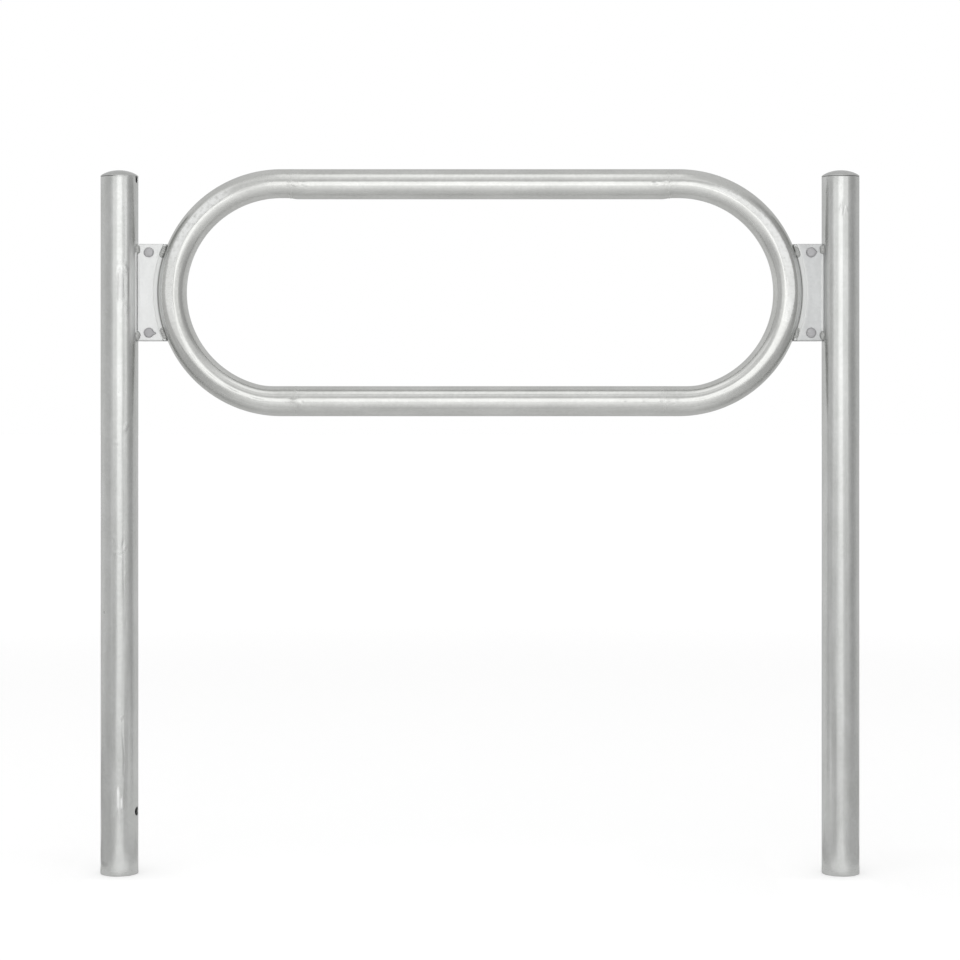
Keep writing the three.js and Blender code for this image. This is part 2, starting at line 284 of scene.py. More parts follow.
# Marks of the zinc on the front of the posts: (height, distance round from the front, half length,
# half width, rise, power, lean), in millimetres
LEFT_POST_MARKS = [
    (1059.6, 10.6, 1.6, 1.2, -0.30), (1083.3, 9.0, 1.8, 1.3, 0.16), (1071.1, 3.4, 1.5, 1.3, 0.14),
    (1072.3, 17.0, 1.7, 1.4, 0.16), (1074.7, 12.8, 1.4, 1.0, 0.12), (1091, 14, 5, 7, 0.12),
    (972, 8, 3.2, 5, 0.36, 2, 0.5), (967, 13, 5.5, 2.4, 0.52, 2, -0.5), (961, 5, 3.5, 3.6, -0.30),
    (958, 12, 3.0, 4.6, 0.40, 2, 0.3), (935, 6.6, 24, 4.4, 0.50, 4, 0.02),
    (936, 20.6, 24, 1.2, -0.42, 4), (908, 11, 4.0, 2.6, 0.42), (897, 16, 6.5, 3.0, 0.38),
    (766.7, 2.8, 1.2, 1.0, -0.26), (757, -0.5, 1.4, 1.0, -0.10), (711, 14.1, 5.5, 3.6, 0.34, 2, 0.45),
    (707, 18, 5, 1.5, -0.12, 2, 0.3), (754, 25.4, 26, 1.2, -0.14), (697, 25.4, 16, 1.2, -0.14),
    (687, 0.4, 2.4, 5.5, 0.16), (675, 6.8, 9, 4.2, 0.16), (666, 3.2, 1.6, 2.4, -0.12),
    (681, 1.8, 1.4, 2.0, -0.10), (536.2, -4.9, 1.8, 1.6, 0.24, 2, -0.6),
    (528, 10.0, 6, 1.4, -0.28, 2, 0.2), (520, 12.6, 5, 2.2, 0.34, 2, 0.25), (523, 4, 9, 4.4, 0.10),
    (513, 1.6, 1.8, 8.5, 0.26), (510, 5.2, 1.1, 3.6, -0.30, 2, -1.2),
    (505.5, 8.6, 1.5, 3.2, 0.22, 2, -0.6), (517, -7.6, 2.4, 2.2, 0.16), (515, 18.2, 3.2, 2.8, 0.14),
    (480.3, 13.9, 1.8, 1.3, 0.22), (455, 2.6, 1.3, 4.2, 0.08), (450, 2.6, 1.0, 4.2, -0.08),
    (446, 2.6, 1.3, 4.2, 0.08), (417.5, -23.8, 2.6, 2.8, -0.42), (413, -24.6, 1.8, 2.6, 0.18),
    (401, 14.9, 8, 1.3, -0.20), (396.9, 10.0, 4.5, 2.4, 0.22), (252.1, 8.2, 2.6, 2.2, 0.40),
    (248.4, 8.4, 2.0, 1.7, -0.34), (172, 7.4, 6, 4.2, 0.14), (167, 3.6, 2.2, 2.2, 0.18, 2, 0.4),
    (160, 9.4, 3.4, 2.2, 0.16), (116, 4.2, 14, 2.9, 0.42, 4), (117, 9.2, 10, 1.8, 0.34, 4),
    (132, 9.6, 10, 2.2, 0.12), (20, -21, 4.5, 9, -0.10),
]
RIGHT_POST_MARKS = [
    (1107.2, -16.5, 1.6, 3.2, -0.20), (1096.6, -7.6, 3.5, 2.8, 0.12), (1091.1, -2.0, 3.0, 2.6, -0.10),
    (1084.6, -28.0, 6.5, 2.2, -0.30), (1061, -3.6, 7.5, 1.5, 0.28, 2, 0.16),
    (1057, 1.2, 7.0, 1.6, -0.30, 2, 0.20), (1058, 5.2, 6.5, 1.6, 0.14, 2, -0.24),
    (1049, 0.2, 3.0, 2.4, -0.12), (1020, -28.4, 40, 1.8, -0.10), (1004, -5, 3, 2.2, -0.06),
    (445, -28.2, 20, 3.0, 0.16), (462, -30.5, 9, 2.0, -0.16), (428, -27.6, 5, 2.6, -0.14),
    (103.8, -30.4, 6, 2.2, -0.24), (70, -26, 14, 6, -0.08), (38, -24, 5, 5, 0.10),
]

# The tube's own long seam: at each height, its distance round from the front and its depth, in
# millimetres
LEFT_SEAM = np.array([
    (0, 8, 0.04), (100, 8, 0.05), (150, 9.6, 0.04), (185, 12.2, 0.20), (228, 9.0, 0.16), (260, 9, 0.05),
    (395, 12, 0.05), (440, 11.5, 0.10), (463, 11.0, 0.24), (507, 10.8, 0.26), (530, 10.5, 0.16),
    (560, 11.5, 0.10), (660, 11, 0.05), (684, 10.6, 0.20), (705, 10.6, 0.16), (723, 11.6, 0.16),
    (786, 11.9, 0.22), (880, 11.8, 0.18), (960, 11.4, 0.20), (1000, 12.3, 0.18), (1090, 11.8, 0.16),
    (1104, 11.8, 0.04), (1110, 11.8, 0.0),
]) * MM
RIGHT_SEAM = np.array([
    (0, 1, 0.0), (500, 1, 0.0), (700, 1.2, 0.03), (860, 1.4, 0.06), (1046, 1.3, 0.07), (1060, 1.2, 0.03),
    (1110, 1.2, 0.0),
]) * MM

# Each post: the turn of its openings, its marks and seam, the height of the finest ripples, its pale
# patches (painted highlights on the drips and painted light on the side towards the lug), the rough
# patch beside the lug, the darker patch at the foot, and its seed
POSTS = {
    "left": {
        "turn": -15, "marks": LEFT_POST_MARKS, "seam": LEFT_SEAM, "fine": 0.024 * MM, "seed": 3,
        # Pale patches: painted light on the side towards the lug, and painted highlights on two drips
        # low down
        "pale": [
            (925.5, 30.0, 74, 9.0, 0.9, 8), (992, 38, 14, 9, 0.7, 4), (124, 2.0, 17, 1.7, 1.0, 2),
            (116, 7.2, 8, 1.3, 0.9, 2),
        ],
        "rough": [(935, 8, 44, 11, 1.0, 4)],
        "foot_dark_patch": [(18, -24, 3.5, 8, 0.25, 4)],
    },
    "right": {
        "turn": 0, "marks": RIGHT_POST_MARKS, "seam": RIGHT_SEAM, "fine": 0.018 * MM, "seed": 8,
        # Pale patch: painted light on the side towards the lug
        "pale": [(925.5, -33.0, 76, 9.5, 0.55, 4)], "rough": [], "foot_dark_patch": [],
    },
}


def seam_depth(height, around, knots):
    """The long seam of a rolled tube: a groove with a low ridge on each side, the bell
    -(1 - 0.7 w^2)exp(-w^2) about a line that wanders with height."""
    middle = np.interp(height, knots[:, 0], knots[:, 1])
    depth = np.interp(height, knots[:, 0], knots[:, 2])
    w = (around - middle) / (2.1 * MM)
    return -depth * (1 - 0.7 * w * w) * np.exp(-w * w)


def post_columns(turn):
    """Angles of the grid's upright lines from the openings' axis: closer together at the front, and
    so that lines fall on the edge of the anchor hole and on the sides of the vent."""
    hole = np.arcsin(ANCHOR_RADIUS * np.cos(np.linspace(0, math.pi, 15)) / POST_RADIUS)
    side = VENT_HALF / POST_RADIUS
    slot = np.concatenate([side * np.cos(np.linspace(0, math.pi, 9)), [side + 0.006, -side - 0.006]])
    near = np.unique(np.round(np.concatenate([hole, slot]), 4))
    near = near[np.concatenate([[True], np.diff(near) > 0.002])]
    even = np.linspace(near[-1], near[0] + 2 * math.pi, 2000)
    front = 2 * math.pi - math.radians(90 + turn)
    weight = np.cumsum(1 + 2.0 * bell(even - front, 0.6))
    far = np.interp(np.linspace(weight[0], weight[-1], 132), weight, even)[1:-1]
    return np.concatenate([near, far])


def post_relief(post, place, height, angle, around):
    """Relief of the zinc on a post: its marks, its seam, two runs of ripples, a rougher patch, and
    the lumps that hang at the foot. It levels off where it would leave the square round the tube."""
    seed = post["seed"]
    zinc = swellings(height, around, post["marks"]) + seam_depth(height, around, post["seam"])
    zinc += ripple(place, seed, 14, 0.16, 0.02, 0.06 * MM, 3.0)
    zinc += ripple(place, seed + 40, 12, 0.03, 0.006, post["fine"], 2.5)
    rough = patches(height, around, post["rough"])
    zinc += rough * ripple(place, seed + 50, 12, 0.016, 0.0045, 0.065 * MM, 1.8)
    lumpy = 0.7 + 0.5 * np.sin(3 * angle + seed) * np.sin(2 * angle + 1.3)
    zinc += 0.28 * MM * bell(height - 5 * MM, 5 * MM) * lumpy
    room = POST_RADIUS / np.maximum(np.abs(np.cos(angle)), np.abs(np.sin(angle))) - POST_SKIN
    return np.where(zinc > 0, room * np.tanh(zinc / room), zinc)


def post_sheets(side):
    """A round tube in two lengths that meet at the middle of the anchor hole. The edge between them
    parts round the hole as height +- sqrt(r^2 - w^2), the rim dips into the vent as a round-ended
    slot, and the outer skin is the nominal radius plus the zinc's relief, rounded at both ends."""
    post = POSTS[side]
    off = post_columns(post["turn"])
    angle = off + math.radians(90 + post["turn"])
    around = (np.mod(angle + math.pi, 2 * math.pi) - math.pi) * POST_RADIUS
    sine, cosine = np.sin(angle), np.cos(angle)
    across = POST_RADIUS * np.sin(off)
    facing = np.cos(off) > 0
    lip = np.sqrt(np.clip(ANCHOR_RADIUS**2 - across**2, 0, None)) * facing
    in_slot = facing & (np.abs(across) <= VENT_HALF * 1.001)
    bottom = VENT_DEPTH - VENT_HALF + np.sqrt(np.clip(VENT_HALF**2 - across**2, 0, None))
    rim = POST_TOP - np.where(in_slot, bottom, 0)
    low = np.concatenate([FOOT_STEPS[:-1], np.linspace(FOOT_STEPS[-1], ANCHOR_HEIGHT, 50)])
    low = low[:, None] * (1 - lip / ANCHOR_HEIGHT)
    share = np.linspace(0, 1, 540)[:, None]
    high = (ANCHOR_HEIGHT + lip) * (1 - share) + (rim - RIM_STEPS[0]) * share
    high = np.vstack([high, rim - RIM_STEPS[1:, None]])

    def tube(radius, height):
        """A ring of points at each height."""
        return joined(SIDES[side] * POST_X + radius * sine, -radius * cosine, height)

    def outer(height):
        """The skin over one length, with its rounded ends and what it shows."""
        place = joined(POST_RADIUS * sine, -POST_RADIUS * cosine, height)
        zinc = post_relief(post, place, height, angle, around)
        from_rim = np.clip(1 - (rim - height) / RIM_ROUND, 0, 1)
        from_foot = np.clip(1 - height / FOOT_ROUND, 0, 1)
        radius = POST_SKIN + zinc - RIM_ROUND * (1 - np.sqrt(1 - from_rim**2))
        radius = radius - 0.7 * MM * (1 - np.sqrt(1 - from_foot**2))
        edge = np.exp(-np.abs(rim - height) / (3 * MM)) + 0.8 * np.exp(-height / (4 * MM))
        to_hole = np.hypot(across, height - ANCHOR_HEIGHT)
        edge = edge + np.where(facing, np.exp(-np.abs(to_hole - ANCHOR_RADIUS) / (2 * MM)), 0)
        # Pale patches are painted highlights and painted light; dark is painted shade in dents, and a
        # darker patch near the foot
        return sheet(
            tube(radius, height), place, edge=edge, dull=np.abs(zinc) / (0.5 * MM),
            pale=patches(height, around, post["pale"]),
            dark=np.maximum(painted_dent_shade(zinc), patches(height, around, post["foot_dark_patch"])),
        )

    # Painted shade: the bore and the walls of the openings are painted dark and made matt
    painted_shade_inside = {"edge": 1.0, "matt": 1.0, "dark": 1.0}

    def inner(height):
        """The bore of one length, in seven rings."""
        few = np.linspace(0, 1, 7)[:, None]
        return sheet(tube(POST_BORE, height[0] * (1 - few) + height[-1] * few), **painted_shade_inside)

    def wall(length, row, columns=slice(None)):
        """Points of the wall's thickness, between one row of the skin and of the bore."""
        return np.stack([part["points"][row][columns] for part in length])

    below, above = ((outer(height), inner(height)) for height in (low, high))
    opening = np.nonzero((lip > 0) | (facing & (np.abs(np.abs(across) - ANCHOR_RADIUS) < 1e-5)))[0]
    order = opening[np.argsort(off[opening])]
    return [
        *below, *above, sheet(wall(below, 0), edge=1.0), sheet(wall(above, -1), **painted_shade_inside),
        sheet(wall(below, -1, order), closed=False, **painted_shade_inside),
        sheet(wall(above, 0, order), closed=False, **painted_shade_inside),
    ]


def cap_sheets(side):
    """A dished disc: height = rise * (1 - (r/rim)^2)^fullness over the rim, a rounded lower edge, and
    the same dish, one plate lower, for the hollow below, with faint hammer waves on the crown."""
    radius = CAP_RIM * np.sin(np.linspace(0, math.pi / 2, 34))
    rise = CAP_TOP - CAP_BASE
    fall = np.clip(1 - (radius / CAP_RIM) ** 2, 0, 1) ** CAP_FULLNESS
    outside = np.stack([radius, CAP_BASE + CAP_LIP + (rise - CAP_LIP) * fall], -1)
    step = np.array([0.0005, 0.0002, 0, 0])
    lower = np.stack([[0.02998, 0.0298, 0.0294, 0.0272], CAP_BASE + step], -1)
    hollow = CAP_HOLLOW * np.sin(np.linspace(math.pi / 2, 0, 10))
    fall = np.clip(1 - (hollow / CAP_HOLLOW) ** 2, 0, 1) ** CAP_FULLNESS
    under = np.stack([hollow, CAP_BASE + (rise - CAP_PLATE) * fall], -1)
    profile = np.concatenate([outside, lower, under])
    angle = full_turn(96)
    reach = profile[:, :1]
    points = joined(SIDES[side] * POST_X + reach * np.sin(angle), -reach * np.cos(angle), profile[:, 1:])
    waves = ripple(points, POSTS[side]["seed"], 8, 0.05, 0.012, 0.04 * MM)[: len(outside)]
    inside_rim = smooth(CAP_RIM - radius, 0.001, 0.006)[:, None]
    points[: len(outside), :, 2] += np.minimum(waves, 0) * inside_rim
    points[..., 2] = np.minimum(points[..., 2], CAP_TOP)
    edge = np.exp(-np.abs(points[..., 2] - CAP_BASE) / (1.6 * MM))
    return [sheet(points, edge=edge, dull=0.3, dark=0.22)]


def seam_fill_sheets(start, end):
    """Zinc that fills the joint under the left cap between two angles: a bead whose section is a
    small ellipse, thinning to nothing at both ends."""
    turn = np.radians(np.linspace(start, end, 60))[:, None]
    section = full_turn(14)
    fullness = np.sqrt(np.clip(np.sin(math.pi * (turn - turn[0]) / (turn[-1] - turn[0])), 0, 1))
    fullness = fullness * (1 + 0.18 * np.sin(9 * turn + 1) + 0.1 * np.sin(23 * turn))
    radius = np.minimum(SEAM_RADIUS + 0.75 * MM * fullness * np.cos(section), POST_RADIUS - 0.1 * MM)
    height = POST_TOP + 0.1 * MM + 1.6 * MM * fullness * np.sin(section)
    points = joined(-POST_X + radius * np.sin(turn), -radius * np.cos(turn), height)
    return [sheet(points, edge=0.7, dull=0.6)]


# Marks of the zinc on the front of the rails: (distance along X, distance up, half length, half
# width, rise, power, lean), in millimetres
RAIL_MARKS = {
    "top": [
        (-293.1, -3.8, 2.6, 1.8, 0.40), (-299.6, -3.8, 1.4, 1.2, -0.30), (-302.5, -2.0, 3.0, 3.0, 0.20),
        (-282.2, -3.8, 1.5, 1.2, -0.26), (-275.8, -6.5, 1.6, 1.3, -0.24), (-288, 1.0, 3.0, 3.4, 0.22),
        (-279, -0.5, 3.6, 2.4, 0.14), (-268, -2, 5, 2.0, -0.06), (275.5, 0.2, 2.4, 1.7, 0.34),
        (281, -2.4, 2.0, 1.6, -0.24, 2, 0.4), (286, 1.2, 3.0, 2.4, 0.20), (290.5, -3.0, 2.2, 1.8, 0.26),
        (295, 1.6, 2.4, 2.2, -0.18, 2, -0.4), (301.2, 1.5, 3.6, 1.2, 0.30, 2, 0.8),
        (303, 4.2, 3.4, 1.1, -0.22, 2, 0.8), (309, -2, 3.2, 2.4, 0.16), (304.4, 24.7, 3.6, 3.0, -0.26),
        (307.4, -16.7, 1.0, 5, -0.12), (255, -1.2, 3.0, 1.2, 0.06), (180, -1.4, 4.0, 1.2, 0.05),
        (60, -1.0, 5.0, 1.2, 0.04), (-120, -1.2, 5.0, 1.2, 0.05),
    ],
    "bottom": [
        (-306.8, -1.0, 2.2, 1.6, 0.26), (-303.4, -2.0, 1.5, 1.3, -0.22), (-294.9, 0.4, 4.2, 3.6, 0.55),
        (-287.5, -3.6, 4.0, 3.4, 0.34), (-281.4, -1.0, 1.8, 2.6, -0.26),
        (-296, 6.2, 6.5, 1.6, -0.20, 2, 0.15), (-256.8, -1.2, 3.0, 1.6, 0.14),
        (231.1, 0.6, 1.6, 1.2, 0.20), (235.5, 0.8, 1.4, 1.1, -0.12), (259.2, 0.0, 1.8, 1.4, 0.24),
        (263.5, 2.8, 2.0, 1.0, -0.20, 2, 0.8), (280, 2.0, 4.0, 1.0, -0.14), (286.9, 0.2, 2.0, 1.6, 0.32),
        (292, 1.0, 1.8, 1.6, -0.16), (299, 0.6, 2.4, 2.0, 0.18), (305, -2.6, 2.0, 1.8, 0.22),
        (308.3, -4.2, 1.6, 1.2, -0.24), (313, 0.8, 2.6, 2.0, 0.26, 2, -0.4),
        (335.3, 0.6, 3.2, 1.6, -0.16, 2, 0.3), (244, 5.2, 12, 1.2, 0.06), (40, 0.6, 5.0, 1.2, 0.04),
        (-160, 0.4, 5.0, 1.2, 0.05),
    ],
}


def hoop_columns(count):
    """Angles round the hoop's tube, t - sin(t) / 2, so that they lie closer together at the front."""
    even = np.linspace(-math.pi, math.pi, count, endpoint=False)[None, :]
    return even - 0.5 * np.sin(even)


def hoop_skin(relief, facing_down, **marks):
    """What the skin of the hoop shows: dull where zinc has gathered, painted shade in dents, and matt
    where it faces down."""
    matt = 0.7 * smooth(facing_down, 0.30, 0.62)
    return {"dull": np.abs(relief) / (0.5 * MM), "dark": painted_dent_shade(relief), "matt": matt, **marks}


def hoop_zinc(along, angle, level, seed):
    """Relief of the zinc on the hoop's tube: seeded ripples stretched along it, and the marks."""
    place = joined(HOOP_RADIUS * np.cos(angle), HOOP_RADIUS * np.sin(angle), along)
    around = (np.mod(angle + math.pi, 2 * math.pi) - math.pi) * HOOP_RADIUS
    ripples = ripple(place, seed, 14, 0.14, 0.014, 0.045 * MM, 3.5)
    return swellings(along, around, RAIL_MARKS[level]) + ripples, place


def hoop_tube(angle, centre, outward, flat, zinc):
    """A tube of points: centre + outward * v + front * u, where u and v are the section's offsets
    r cos b and r sin b, and v shrinks on the inner side by the share flat of the flattening."""
    radius = HOOP_SKIN + zinc
    v = radius * np.sin(angle)
    v = np.where(v < 0, v * (1 - flat * FLATTENING / HOOP_RADIUS), v)
    points = centre + outward * v[..., None]
    points[..., 1] -= radius * np.cos(angle)
    points[..., 2] = np.minimum(points[..., 2], HOOP_HEIGHT + BEND_REACH + 0.14 * MM)
    return points


def joint_flat(level, x):
    """Share of the flattening by distance from the middle: at the top it starts at the joint, and at
    the bottom only in the bend."""
    return smooth(np.abs(x), 0.290, 0.305) if level == "top" else np.zeros_like(x)


def rail_sheets(level, seed):
    """A straight tube along X between the two joints, closed at both ends by flat rings."""
    up = LEVELS[level]
    half = JOINT_X[level] - JOINT_GAP
    x = np.linspace(-half, half, 401)[:, None]
    angle = hoop_columns(128)
    centre = joined(x, 0 * angle, HOOP_HEIGHT + up * BEND_RADIUS)
    # The marks are measured upwards, and the angle runs outwards
    zinc, place = hoop_zinc(x, up * angle, level, seed)
    points = hoop_tube(angle, centre, np.array([0, 0, up]), joint_flat(level, x), zinc)
    weld = np.exp(-np.abs(half - np.abs(x)) / (6 * MM))
    skin = sheet(points, place, **hoop_skin(zinc, -up * np.sin(angle), edge=weld))
    inner = centre[[0, -1]]
    inner[..., 1] -= HOOP_BORE * np.cos(angle)
    inner[..., 2] += HOOP_BORE * np.sin(angle)
    return [skin, sheet(inner), *(sheet(np.stack([points[i], inner[i]])) for i in (0, -1))]


# Each bend: the flat of its front (middle, half width and depth in millimetres at the turns, in
# degrees from the top), the frosted bands that the rolls left, painted paler as a broad highlight, the
# depths of the scratch and of the wrinkles, and how matt the zinc is over the top
FACET_TURNS = (0, 20, 40, 60, 75, 90, 110, 125, 180)
BENDS = {
    "left": {
        "facet": (
            (3, 4, 5.7, 6.2, 5.0, 3.0, 1.5, 0, 0),
            (4, 5, 6.5, 7.0, 7.5, 8.0, 6.0, 4, 4),
            (0.10, 0.25, 0.75, 0.90, 0.90, 0.80, 0.35, 0.10, 0.10),
        ),
        "frost_and_highlight": [(158, 6.9, 75, 6.5, 0.85, 6), (250, 5.0, 60, 6.5, 0.35, 6)],
        "scratch": 0.17 * MM, "wrinkle": 0.02 * MM, "matt": 0.55,
    },
    "right": {
        "facet": (
            (2, 2, 2.3, 4.0, 3.0, 1.5, -0.5, -1, 0),
            (4, 4, 4.8, 6.3, 8.0, 9.0, 6.0, 5, 4),
            (0.10, 0.20, 0.40, 0.75, 1.00, 1.05, 0.50, 0.20, 0.10),
        ),
        "frost_and_highlight": [
            (110, 3.2, 55, 4.6, 0.5, 4), (190, 4.6, 60, 6.8, 0.75, 6), (265, 3.0, 55, 8.0, 0.40, 6),
        ],
        "scratch": 0.08 * MM, "wrinkle": 0.05 * MM, "matt": 0,
    },
}
# A pale band on the outer side of each bend beside its lug: painted light that lifts the shade there
BESIDE_LUG_HIGHLIGHT = [(math.pi * BEND_RADIUS / 2 / MM, 22.5, 66, 5.5, 0.8, 4)]


def bend_sheets(side, seed):
    """The hoop's end: top leg, half circle, bottom leg. Every section lies square to the path, and
    its inner half is flattened where the tube was bent."""
    sign = SIDES[side]
    bend = BENDS[side]
    arc = math.pi * BEND_RADIUS
    top_leg, bottom_leg = (BEND_X - JOINT_X[level] - JOINT_GAP for level in LEVELS)
    s = np.linspace(-top_leg, arc + bottom_leg, 301)[:, None]
    angle = hoop_columns(144)
    around = angle * HOOP_RADIUS
    turn = np.clip(s / BEND_RADIUS, 0, math.pi)
    x = BEND_X + np.minimum(s, 0) - np.maximum(s - arc, 0) + BEND_RADIUS * np.sin(turn)
    centre = joined(sign * x, 0 * angle, HOOP_HEIGHT + BEND_RADIUS * np.cos(turn))
    outward = joined(sign * np.sin(turn), 0, np.cos(turn))
    pressed = smooth(np.minimum(s, arc - s) / BEND_RADIUS, 0, FLATTENING_RAMP)
    pressed = np.maximum(pressed, np.where(s < arc / 4, joint_flat("top", x), 0))
    # Marks near the two joints, carried over from the rails by their distance along X
    leg_x = sign * np.where(s < arc / 2, BEND_X + s, BEND_X + arc - s)
    top, place = hoop_zinc(leg_x, angle, "top", seed)
    bottom, _ = hoop_zinc(leg_x, -angle, "bottom", seed + 1)
    place[..., 2] = s
    top_share = smooth(-s, -0.03, 0.0)
    bottom_share = smooth(s - arc, -0.03, 0.0)
    ends = smooth(s, -0.01, 0.05) * smooth(arc - s, -0.01, 0.05)
    zinc = ripple(place, seed + 2, 14, 0.14, 0.010, 0.05 * MM, 3.5)
    zinc *= (1 - top_share) * (1 - bottom_share)
    zinc += top * top_share + bottom * bottom_share
    zinc += ripple(place, seed + 3, 10, 0.012, 0.005, 0.022 * MM, 3.0)
    # A fine broken scratch line along the front of the bend, where the rolls of the bender ran
    line = (0.6 - 3.0 * np.sin(s / BEND_RADIUS)) * MM + ripple(place, seed + 7, 5, 0.09, 0.02, 0.5 * MM)
    unbroken = np.clip(0.6 + ripple(place, seed + 9, 9, 0.02, 0.0035, 0.9), 0, 1)
    zinc -= bend["scratch"] * bell(around - line, 0.8 * MM) * unbroken * ends
    # Wrinkles of the zinc where the bend is tightest to the rolls
    wrinkled = bell(turn - 1.75, 0.5) * bell(around - 3 * MM, 7 * MM, 4)
    zinc += wrinkled * ripple(place, seed + 31, 9, 0.014, 0.004, bend["wrinkle"], 1.6)
    # The front stands a little flat there, as rolled tube does, most of all in the upper half
    middle, width, depth = (np.interp(np.degrees(turn), FACET_TURNS, row) * MM for row in bend["facet"])
    facet = depth * np.clip(1 - ((around - middle) / width) ** 2, 0, 1) ** 1.25 * ends
    points = hoop_tube(angle, centre, outward, pressed, zinc - facet)
    # Frosted bands painted pale as a broad highlight, and painted light beside the lug
    frost_and_highlight = patches(s, around, bend["frost_and_highlight"])
    frost_and_highlight *= np.clip(0.88 + ripple(place, seed + 60, 12, 0.012, 0.003, 0.5), 0, 1)
    pale = np.maximum(patches(s, around, BESIDE_LUG_HIGHLIGHT), frost_and_highlight)
    weld = np.exp(-np.minimum(s + top_leg, arc + bottom_leg - s) / (6 * MM))
    skin = hoop_skin(zinc, -np.cos(turn) * np.sin(angle), edge=weld, pale=pale)
    clouded = bend["matt"] * bell(s - 0.048, 0.035) * bell(around, 0.014, 4)
    skin["matt"] = np.maximum(skin["matt"], clouded)
    few = np.linspace(0, len(s) - 1, 31).astype(int)
    inner = centre[few] + outward[few] * (HOOP_BORE * np.sin(angle))[..., None]
    inner[..., 1] -= HOOP_BORE * np.cos(angle)
    rings = (sheet(np.stack([points[i], inner[i]])) for i in (0, -1))
    return [sheet(points, place, **skin), sheet(inner), *rings]


def butt_weld_sheets(level, side, seed):
    """A ring of weld metal dressed nearly flush: the tube's section just under its skin, with a low
    crown h * (1 - (x/w)^2) and lumps, closed by a ring of smaller radius inside the joint."""
    sign, up = SIDES[side], LEVELS[level]
    off = np.linspace(-WELD_HALF, WELD_HALF, 17)[:, None]
    angle = hoop_columns(96)
    x = sign * (JOINT_X[level] + off)
    zinc, place = hoop_zinc(x, up * angle, level, seed)
    lumps = ripple(place, seed + 5, 9, 0.016, 0.005, 0.10 * MM)
    crown = (1 - (off / WELD_HALF) ** 2) * (0.05 * MM + 0.2 * np.abs(lumps)) - 0.13 * MM
    centre = joined(x, 0 * angle, HOOP_HEIGHT + up * BEND_RADIUS)
    points = hoop_tube(angle, centre, np.array([0, 0, up]), joint_flat(level, x), zinc + crown)
    root = centre[[-1, 0]] + joined(0, -np.cos(angle), up * np.sin(angle))[0] * WELD_ROOT
    root[..., 0] += sign * np.array([[-1.2], [1.2]]) * MM
    return [
        sheet(points, place, edge=0.3, dull=0.4),
        sheet(np.stack([points[-1], *root, points[0]])),
    ]


def lug_sheets(low_x, high_x, back, marks, sign, seed):
    """A plate between two upright edges given by height and depth. Each level section is a rectangle
    with rounded corners, and the sections draw in over the top and bottom rounds. Zinc stands on the
    front face as seeded ripples and marks (X, height, half width, half height, rise, power, lean)."""
    rows = 84
    steps = np.linspace(0, 1, 40)
    sides = np.linspace(0, 1, 7)
    quarter = np.linspace(0, math.pi / 2, 6)
    sine, cosine = np.sin(quarter), np.cos(quarter)

    def leg(u, v, ax, ay):
        """One stretch of the ring."""
        return np.stack(np.broadcast_arrays(u, v, ax, ay), -1)

    # Shares across and through the plate, and the way that each corner's round points
    ring = np.concatenate([
        leg(steps, 0.0, 0.0, -1.0), leg(1.0, 0.0, sine, -cosine)[1:],
        leg(1.0, sides, 1.0, 0.0)[1:], leg(1.0, 1.0, cosine, sine)[1:],
        leg(steps[::-1], 1.0, 0.0, 1.0)[1:], leg(0.0, 1.0, -sine, cosine)[1:],
        leg(0.0, sides[::-1], -1.0, 0.0)[1:], leg(0.0, 0.0, -cosine, -sine)[1:-1],
    ])
    u, v, ax, ay = ring.T
    lift = np.concatenate([-cosine[:-1], np.zeros(rows), sine[1:]])[:, None]
    shrink = np.concatenate([sine[:-1], np.ones(rows), cosine[1:]])[:, None]
    level = np.linspace(LUG_LOW + LUG_ROUND, LUG_HIGH - LUG_ROUND, rows)
    height = np.pad(level, 5, "edge")[:, None] + LUG_ROUND * lift
    depth = back - LUG_THICKNESS + LUG_ROUND + v * (LUG_THICKNESS - 2 * LUG_ROUND)
    depth = depth + LUG_ROUND * shrink * ay
    left = low_x(height, depth) + LUG_ROUND
    right = high_x(height, depth) - LUG_ROUND
    x = left + u * (right - left) + LUG_ROUND * shrink * ax
    place = joined(x, 0, height)
    rise = ripple(place, seed, 12, 0.07, 0.008, 0.05 * MM) + swellings(x, height, marks)
    points = joined(sign * x, depth - rise * ((v == 0) & (ay == -1.0)) * shrink, height)
    rim = np.minimum(np.minimum(x - left, right - x), np.minimum(height - LUG_LOW, LUG_HIGH - height))
    # Painted highlight: paler along the edge next to the hoop; painted shade: darker along the bottom
    # edge
    skin = sheet(
        points, place, edge=np.exp(-np.clip(rim, 0, 1) / (2.2 * MM)), dull=np.abs(rise) / (0.6 * MM),
        pale=np.exp(-np.clip(x - left, 0, 1) / (1.5 * MM)), dark=0.8 * bell(height - LUG_LOW, 1.3 * MM),
    )
    # Lids over the top and bottom, between the two short sides of the ring
    lids = []
    for row in points[0], points[-1]:
        right_column = row[[39, *range(45, 51)]][:, None]
        left_column = row[[0, *range(105, 99, -1)]][:, None]
        lid = left_column * (1 - steps[:, None]) + right_column * steps[:, None]
        lid[0] = row[:40]
        lid[-1] = row[94:54:-1]
        lids.append(sheet(lid, closed=False, edge=1.0))
    return [skin, *lids]


def hollow_edge(height, depth):
    """Edge of the post lug, bowed in round the hoop: X = centre + sqrt(radius^2 - dz^2)."""
    return BEND_X + LUG_SHIFT + np.sqrt(BEND_REACH**2 - (height - HOOP_HEIGHT) ** 2)


def round_post(height, depth):
    """Edge that follows the front of the post: X = post - sqrt(R^2 - y^2)."""
    return POST_X - np.sqrt((POST_RADIUS + 0.1 * MM) ** 2 - depth**2)


def round_bend(height, depth):
    """Edge that follows the outside of the bend at each depth."""
    reach = BEND_RADIUS + np.sqrt((HOOP_RADIUS + 0.2 * MM) ** 2 - depth**2)
    return BEND_X + np.sqrt(reach**2 - (height - HOOP_HEIGHT) ** 2)


def straight_edge(height, depth):
    """Edge of the hoop lug behind the post lug."""
    return HOOP_LUG_EDGE


